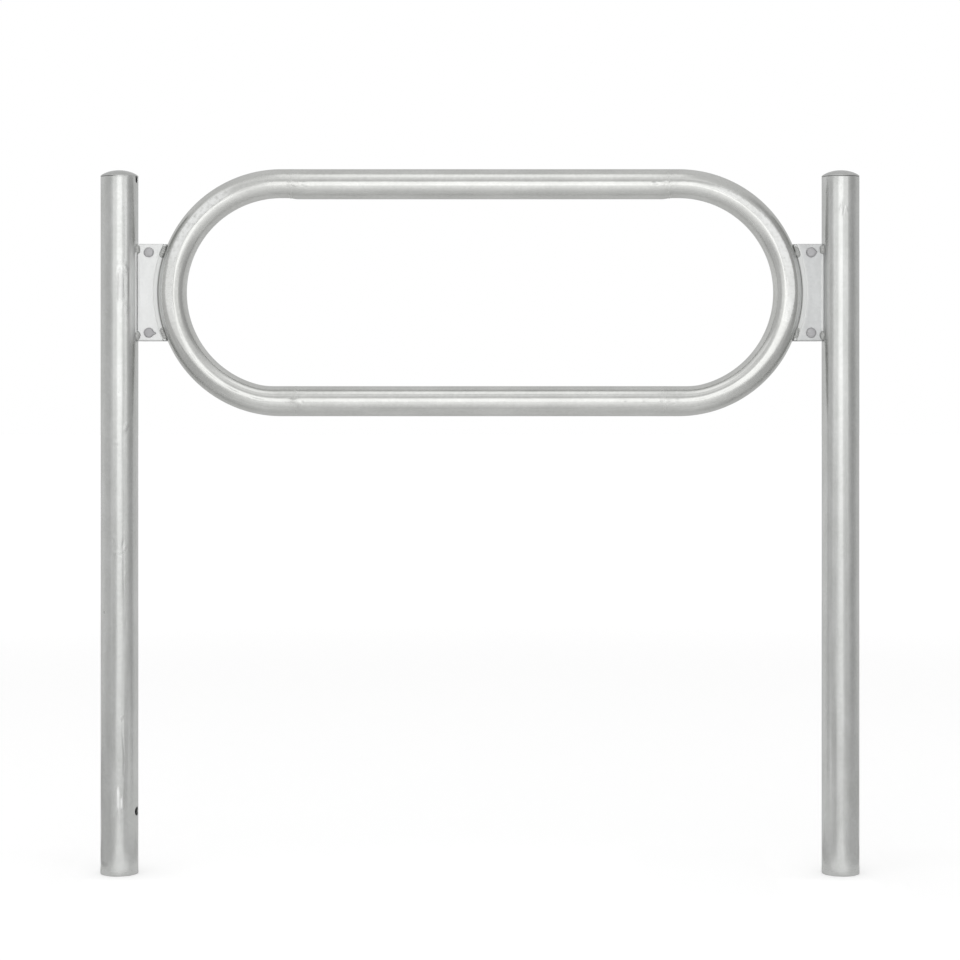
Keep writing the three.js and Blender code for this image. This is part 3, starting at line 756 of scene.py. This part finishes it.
LUG_MARKS = {
    "left": [
        (537.5, 962.5, 2.6, 0.9, -0.40), (512.0, 990.0, 3.0, 6.0, 0.36, 2, 0.5),
        (509.5, 997.0, 2.2, 3.0, -0.24), (515.0, 984.0, 2.0, 3.6, -0.22, 2, -0.6),
        (511.0, 868.0, 3.0, 7.5, 0.34, 2, -0.3), (516.0, 874.0, 1.8, 3.2, -0.20, 2, 0.4),
        (536.0, 999.0, 4.0, 2.2, 0.18), (541.5, 930.0, 1.4, 34.0, 0.16),
    ],
    "right": [
        (538.5, 993.0, 3.6, 3.4, 0.40, 2, 0.5), (536.0, 989.0, 1.5, 2.4, -0.26, 2, -0.7),
        (541.0, 861.0, 2.2, 4.4, 0.36, 2, 0.2), (519.0, 997.5, 5.0, 1.8, 0.16),
        (518.4, 925.0, 0.9, 46.0, 0.14), (524.0, 905.0, 6.0, 9.0, 0.05),
    ],
}
HOOP_LUG_MARKS = [(525, 925, 5, 5, 0.02)]


def bead_sheets(centre, along, out, length, wide, tall, seed, square=1.0, pale=0.0, ends=0.42):
    """A short weld bead: a closed round-ended body about a straight line, with the section radius
    (1 - t^2)^ends and the overlapping ripples of the weld pool along it. The section is a
    superellipse, cos^square and sin^square, so that a smaller square makes it boxier."""
    along = np.asarray(along, float) / np.linalg.norm(along)
    out = np.asarray(out, float) / np.linalg.norm(out)
    t = np.sin(np.linspace(-math.pi / 2, math.pi / 2, 41))[:, None]
    angle = full_turn(32)[None, :]
    scallop = 0.95 + 0.09 * np.abs(np.sin(2.6 * math.pi * t + seed))
    uneven = 1 + 0.08 * np.sin(2 * angle + seed) + 0.06 * np.sin(3 * angle + 4 * t + 2 * seed)
    radius = np.clip(1 - t * t, 0, 1) ** ends * scallop * uneven

    def reach(size, share):
        """The section's offset along one of its axes."""
        return (size * radius * np.sign(share) * np.abs(share) ** square)[..., None]

    line = centre + along * (0.5 * length * t)[..., None]
    across = np.cross(along, out)
    points = line + out * reach(tall, np.cos(angle)) + across * reach(wide, np.sin(angle))
    return [sheet(points, edge=0.6, dull=0.9, pale=pale)]


def right_corner_sheets(seed):
    """Zinc run into the corner between the right post and its lug: at each station a hollow section
    between the two faces, the curve c + a (1 - t)^2 + b t^2 with a and b the reaches along them,
    closed behind the corner. The reach is 3 mm * (1 - u^6)^(1/2) with low waves, so the run thins
    out at both ends."""
    u = np.linspace(-1, 1, 60)
    wave = 1 + 0.12 * np.sin(17 * u + seed) + 0.08 * np.sin(41 * u + 2 * seed)
    reach = (3 * MM * np.sqrt(np.clip(1 - u**6, 0, 1)) * wave)[:, None, None]
    t = np.linspace(0, 1, 9)[:, None]
    height = np.linspace(LUG_LOW + 0.004, LUG_HIGH - 0.004, 60)
    corner = joined(CORNER_X, -LUG_THICKNESS, height)[:, None]
    plate = np.array([-1.0, 0, 0])
    tube = np.array([LUG_THICKNESS, CORNER_X - POST_X, 0]) / POST_RADIUS
    face = corner + reach * (plate * (1 - t) ** 2 + tube * t**2)
    behind = corner - 0.06 * reach * (plate + tube)
    # Painted pale along the corner: a painted highlight
    return [sheet(np.concatenate([face, behind], 1), edge=0.3, dull=0.5, pale=0.8)]


def lap_sheets(sign):
    """Zinc run into the lap between the post lug's hollow edge and the bend, in front of the hoop
    lug. Its face falls from 7.5 mm before the hoop lug at the edge to 6.1 mm at the bend with a
    hollow of 0.5 mm, and each section shrinks to its middle by (1 - u^24)^(1/2) at the ends."""
    u = np.linspace(-1, 1, 100)[:, None]
    height = HOOP_HEIGHT + LAP_HALF * u
    full = np.sqrt(np.clip(1 - u**24, 0, 1))
    t = np.linspace(0, 1, 13)[None, :]
    depth = -(7.5 - 1.4 * t - 0.5 * np.sin(math.pi * t)) * MM + 0 * u
    edge = hollow_edge(height, depth) + 0.4 * MM
    bend = round_bend(height, depth[:, -1:]) - 0.4 * MM
    behind = np.concatenate([round_bend(height, 0 * height) - 0.4 * MM, edge], 1)
    x = np.concatenate([edge * (1 - t) + bend * t, behind], 1)
    depth = np.concatenate([depth, 0 * behind + 0.3 * MM], 1)
    x = full * x + (1 - full) * x.mean(1, keepdims=True)
    depth = full * depth + (1 - full) * depth.mean(1, keepdims=True)
    # Painted light: the run is painted pale to lift the recess, with painted shade along the post lug's
    # edge
    dark = 0.95 * bell(x - x.min(1, keepdims=True), 1.3 * MM)
    return [sheet(joined(sign * x, depth, height), edge=0.3, dull=0.5, pale=0.9, dark=dark)]


def round_body(profile, centre, columns, flare=None):
    """A profile of (radius, y) pairs turned about a line along Y through centre = (X, Z). The flare
    stretches the radius by angle, measured from +X towards +Z."""
    profile = np.asarray(profile, float)
    angle = full_turn(columns)
    radius = profile[:, :1] * (1 if flare is None else flare(angle))
    return joined(centre[0] + radius * np.cos(angle), profile[:, 1:], centre[1] + radius * np.sin(angle))


def drip(at, reach, spread):
    """Zinc drawn out from a head into a drip: 1 + reach * exp(-(angle from at / spread)^2)."""
    def stretch(angle):
        """The head's radius at an angle, as a share of the round one."""
        away = np.mod(angle - math.radians(at) + math.pi, 2 * math.pi) - math.pi
        return 1 + reach * bell(away, math.radians(spread))
    return stretch


HEAD_DRIPS = {
    "left_upper": drip(-150, 0.05, 20), "left_lower": drip(-6, 0.50, 13),
    "right_upper": drip(4, 0.22, 12), "right_lower": drip(-80, 0.06, 25),
}


def bolt_sheets(centre, flare, seed):
    """Low round head, shank, and a threaded end whose radius is the nominal one less a triangle wave
    of height along the helix. The head is the superellipse (1 - rho^4)^(1/2.6) over its rim."""
    seat = -LUG_THICKNESS + 0.1 * MM
    rim = -LUG_THICKNESS - 0.2 * MM
    top = -LUG_THICKNESS - HEAD_HEIGHT
    rho = np.sin(np.linspace(0, 1, 15) * math.pi / 2)
    head = np.stack([HEAD_RADIUS * rho, rim + (top - rim) * (1 - rho**4) ** (1 / 2.6)], -1)
    neck = [(0.0078, seat), (SHANK_RADIUS, seat)]
    front = round_body(np.concatenate([head, neck]), centre, 48, flare)
    shank = round_body([(SHANK_RADIUS, seat), (SHANK_RADIUS, THREAD_START)], centre, 48)
    front[-1] = shank[0]
    front[..., 1] = np.maximum(front[..., 1], top)
    front[:10, :, 1] += np.abs(ripple(front, seed, 7, 0.012, 0.004, 0.05 * MM)[:10])
    y = np.linspace(THREAD_START, THREAD_END, 26)[:, None]
    angle = full_turn(48)[None, :]
    wave = np.abs(np.mod(y / THREAD_PITCH - angle / (2 * math.pi), 1) - 0.5) * 2
    taper = np.clip((THREAD_END - y) / (0.8 * MM), 0, 1)
    radius = (SHANK_RADIUS - THREAD_DEPTH * wave) * (0.82 + 0.18 * taper)
    thread = joined(centre[0] + radius * np.cos(angle), y, centre[1] + radius * np.sin(angle))
    thread[0] = shank[-1]
    end = round_body([(0.0024, THREAD_END), (0.0, THREAD_END)], centre, 48)
    end = np.concatenate([thread[-1:], end])
    return [sheet(front, dull=0.8, edge=0.1), sheet(shank), sheet(thread, edge=0.4), sheet(end)]


def washer_sheets(centre):
    """A flat ring with its edges broken."""
    low, high = LUG_THICKNESS, LUG_THICKNESS + WASHER_THICKNESS
    bore, rim, soft = FASTENER_BORE, WASHER_RADIUS, 0.25 * MM
    profile = [
        (bore, low), (rim - soft, low), (rim, low + soft), (rim, high - soft),
        (rim - soft, high), (bore + soft, high), (bore, high - soft), (bore, low),
    ]
    return [sheet(round_body(profile, centre, 48), dull=0.5)]


def nut_sheets(centre):
    """A hexagon across which a cone has turned the corners: the smaller of the two radii at each
    angle and height."""
    low = LUG_THICKNESS + WASHER_THICKNESS
    high = low + NUT_HEIGHT
    angle = full_turn(96)[None, :]
    sixth = math.pi / 3
    flat = NUT_HALF_FLATS / np.cos(np.mod(angle, sixth) - sixth / 2)
    ends = np.linspace(0, 0.9 * MM, 5)
    y = np.concatenate([ends, np.linspace(0.0016, 0.0052, 4), NUT_HEIGHT - ends[::-1]])[:, None]
    cone = NUT_FACE + np.minimum(y, NUT_HEIGHT - y) * 1.5
    radius = np.minimum(flat, np.minimum(cone, NUT_CORNER))
    body = joined(centre[0] + radius * np.cos(angle), low + y, centre[1] + radius * np.sin(angle))
    bore = [(0.0046, high), (FASTENER_BORE, high - 0.4 * MM), (FASTENER_BORE, low)]
    inside = np.concatenate([body[-1:], round_body(bore, centre, 96), body[:1]])
    return [sheet(body, dull=0.4), sheet(inside, edge=0.2)]


def fill(tree, socket, value):
    """Links another node's output to the socket, or sets the socket's own value."""
    if isinstance(value, bpy.types.NodeSocket):
        tree.links.new(value, socket)
    else:
        socket.default_value = value


def add_node(tree, kind, inputs=None, output=None, **settings):
    """A new node with its settings and inputs, or the output of it that is asked for."""
    node = tree.nodes.new(kind)
    for key, value in settings.items():
        setattr(node, key, value)
    for key, value in (inputs or {}).items():
        fill(tree, node.inputs[key], value)
    return node if output is None else node.outputs[output]


def map_range(tree, value, from_low, from_high, to_low=0.0, to_high=1.0, **settings):
    """The value carried in a straight line from one range to another."""
    inputs = {
        "Value": value, "From Min": from_low, "From Max": from_high, "To Min": to_low, "To Max": to_high,
    }
    return add_node(tree, "ShaderNodeMapRange", inputs, "Result", **settings)


def weighted(tree, value, share, base):
    """value * share + base."""
    return add_node(tree, "ShaderNodeMath", {0: value, 1: share, 2: base}, 0, operation="MULTIPLY_ADD")


def zinc_group():
    """Shared look of dipped zinc: cloudy tone, fine crystal speckle, streaks along the piece, and
    the height of all three."""
    group = bpy.data.node_groups.new("zinc_skin", "ShaderNodeTree")
    for name, kind, way in (
        ("Place", "Vector", "INPUT"), ("Edge", "Float", "INPUT"), ("Dull", "Float", "INPUT"),
        ("Cloud", "Float", "OUTPUT"), ("Gloss Loss", "Float", "OUTPUT"), ("Height", "Float", "OUTPUT"),
    ):
        group.interface.new_socket(name=name, in_out=way, socket_type=f"NodeSocket{kind}")
    ends = add_node(group, "NodeGroupInput").outputs

    def noise(scale, detail, roughness, stretch):
        """Noise whose place is scaled along the piece, so that a small stretch draws it out."""
        inputs = {"Vector": ends["Place"], "Scale": (1, 1, stretch)}
        vector = add_node(group, "ShaderNodeMapping", inputs, "Vector")
        inputs = {"Vector": vector, "Scale": scale, "Detail": detail, "Roughness": roughness}
        return add_node(group, "ShaderNodeTexNoise", inputs, "Fac")

    cloud = noise(38, 3.0, 0.55, 0.35)
    streak = noise(260, 2.0, 0.5, 0.06)
    speckle = noise(900, 2.0, 0.6, 0.7)
    crystals = add_node(
        group, "ShaderNodeTexVoronoi", {"Vector": ends["Place"], "Scale": 260}, feature="F1"
    ).outputs
    tones = add_node(group, "ShaderNodeSeparateColor", {"Color": crystals["Color"]}).outputs
    loss = weighted(group, cloud, 0.5, ends["Dull"])
    loss = weighted(group, ends["Edge"], 0.6, loss)
    height = weighted(group, streak, 0.45, cloud)
    height = weighted(group, speckle, 0.10, height)
    add_node(group, "NodeGroupOutput", {
        "Cloud": weighted(group, tones[0], 0.18, cloud),
        "Gloss Loss": weighted(group, tones[1], 0.15, loss),
        "Height": weighted(group, crystals["Distance"], 0.5, height),
    })
    return group


ZINC = zinc_group()


def new_material(name):
    """A material and its node tree, which holds a Principled BSDF."""
    material = bpy.data.materials.new(name)
    material.use_nodes = True
    return material, material.node_tree


def dress(tree, values):
    """Fills the inputs of a material's Principled BSDF."""
    for key, value in values.items():
        fill(tree, tree.nodes["Principled BSDF"].inputs[key], value)


def finish(name, dark, light, roughness, bump, metallic=1.0, drawn=0.0):
    """Galvanised steel: the tone runs between dark and light with the clouds, the roughness between
    its two values where zinc has gathered, and the bump is the height of the skin in metres. Zinc
    drains along a tube, so the gloss of a drawn tube is longer along it than round it."""
    material, tree = new_material(name)

    def mark(key, output="Fac"):
        """An attribute of the mesh."""
        return add_node(tree, "ShaderNodeAttribute", None, output, attribute_name=key)

    def blend(factor, first, second):
        """A mix of two colours."""
        inputs = {"Factor": factor, "A": first, "B": second}
        return add_node(tree, "ShaderNodeMix", inputs, "Result", data_type="RGBA")

    inputs = {"Place": mark("run", "Vector"), "Edge": mark("edge"), "Dull": mark("dull")}
    skin = add_node(tree, "ShaderNodeGroup", inputs, node_tree=ZINC).outputs
    pale = mark("pale")
    tone = blend(map_range(tree, skin["Cloud"], 0.35, 0.80), (*dark, 1), (*light, 1))
    # Pale mixes in PALE, mostly a painted highlight, and dark mixes in DARK, mostly painted shade
    tone = blend(mark("dark"), blend(pale, tone, PALE), DARK)
    rough = map_range(tree, skin["Gloss Loss"], 0.2, 1.3, *roughness)
    rough = weighted(tree, mark("matt"), 0.30, weighted(tree, pale, 0.30, rough))
    inputs = {"Strength": 1.0, "Distance": bump, "Height": skin["Height"]}
    relief = add_node(tree, "ShaderNodeBump", inputs, "Normal")
    dress(tree, {
        "Base Color": tone, "Roughness": rough, "Normal": relief, "Metallic": metallic,
        "Specular Tint": (0.75, 0.75, 0.75, 1),
    })
    if drawn:
        settings = {"direction_type": "UV_MAP", "uv_map": "along"}
        tangent = add_node(tree, "ShaderNodeTangent", None, "Tangent", **settings)
        dress(tree, {"Anisotropic": drawn, "Tangent": tangent})
    return material


# Each finish: its dark and light tones, its two roughnesses, the height of its skin, how metallic it
# is and how drawn
POST_ZINC = finish(
    "post_zinc", (0.43, 0.436, 0.425), (0.50, 0.505, 0.497), (0.20, 0.36), 0.00003, 0.93, 0.5
)
HOOP_ZINC = finish(
    "hoop_zinc", (0.43, 0.433, 0.42), (0.50, 0.503, 0.49), (0.18, 0.34), 0.00003, 0.93, 0.6
)
PLATE_ZINC = finish("plate_zinc", (0.56, 0.566, 0.562), (0.62, 0.626, 0.622), (0.40, 0.55), 0.00005, 0.6)
# The right bracket's plates: a darker copy of the plate zinc, painted shade
SHADED_PLATE_ZINC = finish(
    "shaded_plate_zinc", (0.42, 0.426, 0.426), (0.50, 0.507, 0.507), (0.42, 0.58), 0.00005, 0.6
)
FASTENER_ZINC = finish(
    "fastener_zinc", (0.36, 0.358, 0.365), (0.43, 0.428, 0.435), (0.50, 0.66), 0.00005, 0.85
)
WELD_ZINC = finish("weld_zinc", (0.34, 0.345, 0.335), (0.42, 0.424, 0.415), (0.45, 0.60), 0.00010, 0.85)


def make_posts():
    """The posts, their caps, and the zinc in the seam of the left cap."""
    for side in SIDES:
        post, cap = f"{side}_post", f"{side}_post_cap"
        build(f"{post}_tube", post_sheets(side), POST_ZINC, [post])
        build(f"{post}_dished_cap", cap_sheets(side), POST_ZINC, [cap], 50)
    for place, start, end in (("front", -13, 68), ("back", 84, 150)):
        build(f"left_cap_{place}_seam_zinc", seam_fill_sheets(start, end), POST_ZINC)


def make_hoop():
    """The rails, the bends and the welds between them."""
    seeds = {"top": 21, "bottom": 22}
    for level, seed in seeds.items():
        rail = f"hoop_{level}_rail"
        build(f"{rail}_tube", rail_sheets(level, seed), HOOP_ZINC, [rail])
    for side in SIDES:
        bend = f"hoop_{side}_bend"
        build(f"{bend}_tube", bend_sheets(side, seeds["top"]), HOOP_ZINC, [bend])
        for level, seed in seeds.items():
            weld = f"hoop_{level}_{side}_weld"
            build(f"{weld}_ring", butt_weld_sheets(level, side, seed), HOOP_ZINC, [weld])


def fillet_sheets(sign, up, seed):
    """The weld beads of one corner of a bracket, on the post and on the bend."""
    post_place = (sign * CORNER_X, -LUG_THICKNESS, HOOP_HEIGHT + up * POST_WELD_UP)
    post_weld = bead_sheets(
        post_place, (0, 0, 1), (-0.3 * sign, -1, 0), length=0.0145, wide=0.0052, tall=0.0042, seed=seed
    )
    lean = math.asin(HOOP_WELD_UP / BEND_REACH)
    beside_bend = BEND_X + BEND_REACH * math.cos(lean) + 1.9 * MM
    hoop_place = (sign * beside_bend, -1.2 * MM, HOOP_HEIGHT + up * HOOP_WELD_UP)
    along = (-sign * up * math.sin(lean), 0, math.cos(lean))
    hoop_weld = bead_sheets(
        hoop_place, along, (0, -1, 0), length=0.0205, wide=0.0046, tall=0.0078, seed=seed + 2,
        square=0.65, ends=0.25,
    )
    return post_weld, hoop_weld


def make_brackets():
    """Both brackets: lugs, the zinc run between them, welds, bolts, washers and nuts."""
    for side, seed, zinc in (("left", 31, PLATE_ZINC), ("right", 47, SHADED_PLATE_ZINC)):
        sign = SIDES[side]
        post_lug = lug_sheets(hollow_edge, round_post, 0.0, LUG_MARKS[side], sign, seed)
        hoop_lug = lug_sheets(round_bend, straight_edge, LUG_THICKNESS, HOOP_LUG_MARKS, sign, seed + 3)
        if side == "left":
            # The left corner's thin bead is painted pale: a painted highlight along the corner
            place = (-0.5472, -0.0113, HOOP_HEIGHT)
            corner = bead_sheets(
                place, (0, 0, 1), (0, -1, 0), length=0.128, wide=0.0012, tall=0.0015, seed=seed,
                pale=0.8, ends=0.08,
            )
        else:
            corner = right_corner_sheets(seed)
        build(f"{side}_post_lug_plate", post_lug, zinc, [f"{side}_post_lug"])
        build(f"{side}_hoop_lug_plate", hoop_lug, zinc, [f"{side}_hoop_lug"])
        build(f"{side}_post_corner_zinc", corner, zinc)
        build(f"{side}_lap_zinc", lap_sheets(sign), zinc)
        for level, up in (("upper", 1), ("lower", -1)):
            name = f"{side}_{level}"
            bolt = (sign * BOLT_X, HOOP_HEIGHT + up * BOLT_UP)
            post_weld, hoop_weld = fillet_sheets(sign, up, seed + up)
            head = bolt_sheets(bolt, HEAD_DRIPS[name], seed + up)
            for piece, node, sheets, material, slot, crease in (
                ("post_weld_bead", "post_weld", post_weld, WELD_ZINC, "weld_zinc", 38),
                ("hoop_weld_bead", "hoop_weld", hoop_weld, WELD_ZINC, "weld_zinc", 38),
                ("round_head_bolt", "bolt", head, FASTENER_ZINC, "fastener_zinc", 50),
                ("flat_washer", "washer", washer_sheets(bolt), FASTENER_ZINC, "fastener_zinc", 38),
                ("hex_nut", "nut", nut_sheets(bolt), FASTENER_ZINC, "fastener_zinc", 25),
            ):
                build(f"{name}_{piece}", sheets, material, [f"{name}_{node}"], crease)


def make_camera():
    """A level camera in front of the middle, with a focal length of 2476.5 pixels in a frame of 960."""
    data = bpy.data.cameras.new("camera")
    data.sensor_width = 36
    data.lens = 2476.5 / 960 * data.sensor_width
    data.shift_y = -0.1066
    data.clip_start = 0.1
    data.clip_end = 100
    eye = add_object("camera", data)
    eye.location = (0, -3.95, 0.79)
    eye.rotation_euler = (math.radians(90), 0, 0)
    bpy.context.scene.camera = eye


def make_world():
    """White where the camera, gloss or glass looks, and a little dimmer as a source of light."""
    world = bpy.data.worlds.new("studio")
    world.use_nodes = True
    bpy.context.scene.world = world
    tree = world.node_tree
    rays = add_node(tree, "ShaderNodeLightPath").outputs
    seen = rays["Is Camera Ray"]
    for kind in ("Is Glossy Ray", "Is Transmission Ray"):
        seen = add_node(tree, "ShaderNodeMath", {0: seen, 1: rays[kind]}, 0, operation="MAXIMUM")
    shade = tree.nodes["Background"]
    fill(tree, shade.inputs["Strength"], map_range(tree, seen, 0, 1, 0.8, 1.0))
    fill(tree, shade.inputs["Color"], (1, 1, 1, 1))


def soft_box(name, place, aim, width, height, radiance):
    """A rectangular lamp whose face shows the given radiance."""
    data = bpy.data.lights.new(name, "AREA")
    data.shape = "RECTANGLE"
    data.size = width
    data.size_y = height
    data.energy = radiance * math.pi * width * height
    lamp = add_object(name, data)
    lamp.location = place
    lamp.rotation_euler = (Vector(aim) - Vector(place)).to_track_quat("-Z", "Y").to_euler()
    lamp.visible_camera = False


def panel(name, corners, material):
    """A flat four-cornered piece of the studio."""
    mesh = bpy.data.meshes.new(name)
    mesh.from_pydata(corners, [], [(0, 1, 2, 3)])
    mesh.materials.append(material)
    return add_object(name, mesh)


def make_floor():
    """A wide pale floor. Its own white rises with distance from the middle, so that it meets the
    white background without a line."""
    material, tree = new_material("pale_floor")
    place = add_node(tree, "ShaderNodeTexCoord", None, "Object")
    away = add_node(tree, "ShaderNodeVectorMath", {0: place}, "Value", operation="LENGTH")
    glow = map_range(tree, away, 2.5, 6.0, 0.26, 0.35, interpolation_type="SMOOTHSTEP")
    dress(tree, {
        "Base Color": (0.84, 0.84, 0.84, 1), "Roughness": 0.75, "Emission Color": (1, 1, 1, 1),
        "Emission Strength": glow,
    })
    half = 30
    corners = [(-half, -half, 0), (half, -half, 0), (half, half, 0), (-half, half, 0)]
    panel("floor", corners, material)


def grey_card(name, corners, axis, knots):
    """A card beside the set that shows only in reflections, as a dimmer stretch of the white studio.
    Its level follows the knots (distance along the axis, level) in straight lines."""
    start, end = knots[0][0], knots[-1][0]
    material, tree = new_material(name)
    place = add_node(tree, "ShaderNodeTexCoord", None, "Object")
    along = add_node(tree, "ShaderNodeSeparateXYZ", {"Vector": place}, axis)
    ramp = add_node(tree, "ShaderNodeValToRGB", {"Fac": map_range(tree, along, start, end)})
    stops = ramp.color_ramp.elements
    for at, _ in knots[1:-1]:
        stops.new((at - start) / (end - start))
    for stop, (_, level) in zip(stops, knots):
        stop.color = (*[level / CARD_WHITE] * 3, 1)
    dress(tree, {
        "Base Color": (0, 0, 0, 1), "Specular IOR Level": 0, "Emission Strength": CARD_WHITE,
        "Emission Color": ramp.outputs["Color"],
    })
    card = panel(name, corners, material)
    card.visible_camera = False
    card.visible_diffuse = False
    card.visible_shadow = False


def side_card(name, x, knots):
    """An upright card along Y at the given X."""
    near, far = knots[0][0], knots[-1][0]
    grey_card(name, [(x, near, 0), (x, far, 0), (x, far, 3.2), (x, near, 3.2)], "Y", knots)


def floor_card(name, across, along, axis, knots):
    """A card lying on the floor between two X and two Y."""
    low, high = across
    near, far = along
    z = 0.002
    grey_card(name, [(low, near, z), (high, near, z), (high, far, z), (low, far, z)], axis, knots)


def make_cards():
    """The cards at both sides, on the floor and low in front, between the two feet."""
    side_card("right_card", 2.2, [
        (-2.3, 1.1), (-1.76, 0.88), (-1.37, 0.74), (-1.04, 0.64), (-0.72, 0.57), (-0.36, 0.58),
        (0.0, 0.68), (0.4, 0.81), (0.9, 0.90), (2.4, 0.95),
    ])
    side_card("left_card", -2.2, [
        (-2.3, 1.1), (-1.76, 0.96), (-1.32, 0.79), (-1.04, 0.82), (-0.4, 0.85), (0.0, 0.92), (0.5, 1.0),
        (2.4, 1.06),
    ])
    for name, across, along, axis, knots in (
        ("front_floor_card", (-0.95, 1.15), (-9, -0.62), "Y", [
            (-9.0, 1.72), (-4.5, 1.68), (-2.9, 1.60), (-1.9, 1.46), (-1.5, 1.30), (-1.1, 1.17),
            (-0.85, 1.07), (-0.62, 1.0),
        ]),
        ("left_floor_card", (-4.5, -0.95), (-2.6, 0.9), "X", [
            (-4.5, 0.85), (-3.0, 0.70), (-1.3, 0.70), (-0.95, 0.82),
        ]),
        ("right_floor_card", (0.95, 4.5), (-2.6, 0.9), "X", [
            (0.95, 0.82), (1.3, 0.70), (3.0, 0.70), (4.5, 0.85),
        ]),
        ("far_left_floor_card", (-6.5, -1.4), (-6.5, -2.6), "X", [
            (-6.5, 0.72), (-2.1, 0.72), (-1.4, 0.88),
        ]),
        ("far_right_floor_card", (2.5, 6.5), (-6.5, -2.6), "X", [
            (2.5, 0.84), (3.2, 0.72), (6.5, 0.72),
        ]),
    ):
        floor_card(name, across, along, axis, knots)
    for side, sign in SIDES.items():
        spans = ((0.62, 0.47), (0.95, 0.66), (0.25, 0.47))
        foot, outer, inner = (sorted((sign * first, sign * last)) for first, last in spans)
        knots = [(-0.62, 1.2), (-0.30, 1.36), (-0.05, 1.36)]
        floor_card(f"{side}_foot_card", foot, (-0.62, -0.05), "Y", knots)
        floor_card(f"{side}_outer_card", outer, (-0.35, 0.2), "X", [(x, 0.72) for x in outer])
        floor_card(f"{side}_inner_card", inner, (-0.30, 0.2), "X", [(x, 0.74) for x in inner])
    near, half, top = -0.45, 0.3, 0.2
    corners = [(-half, near, 0), (half, near, 0), (half, near, top), (-half, near, top)]
    grey_card("low_front_card", corners, "X", [(-half, 0.70), (half, 0.70)])


make_posts()
make_hoop()
make_brackets()
make_camera()
make_world()
make_floor()
# Lamps: place, aim, width, height and radiance
soft_box("front_wide", (0.15, -1.9, 1.11), (0.15, 0, 1.11), 3.85, 0.98, 0.50)
soft_box("front_main", (0.09, -4.8, 1.42), (0.09, 0, 1.42), 2.55, 2.05, 0.64)
soft_box("overhead", (0.0, -0.75, 2.55), (0, 0, 1.1), 1.0, 0.75, 0.85)
soft_box("overhead_front", (0.0, -2.6, 3.4), (0, 0, 1.0), 2.6, 1.0, 0.36)
soft_box("upper_left", (-1.9, -1.2, 2.7), (-0.43, 0, 1.06), 1.3, 1.3, 0.45)
make_cards()

bpy.context.scene.view_settings.view_transform = "Standard"
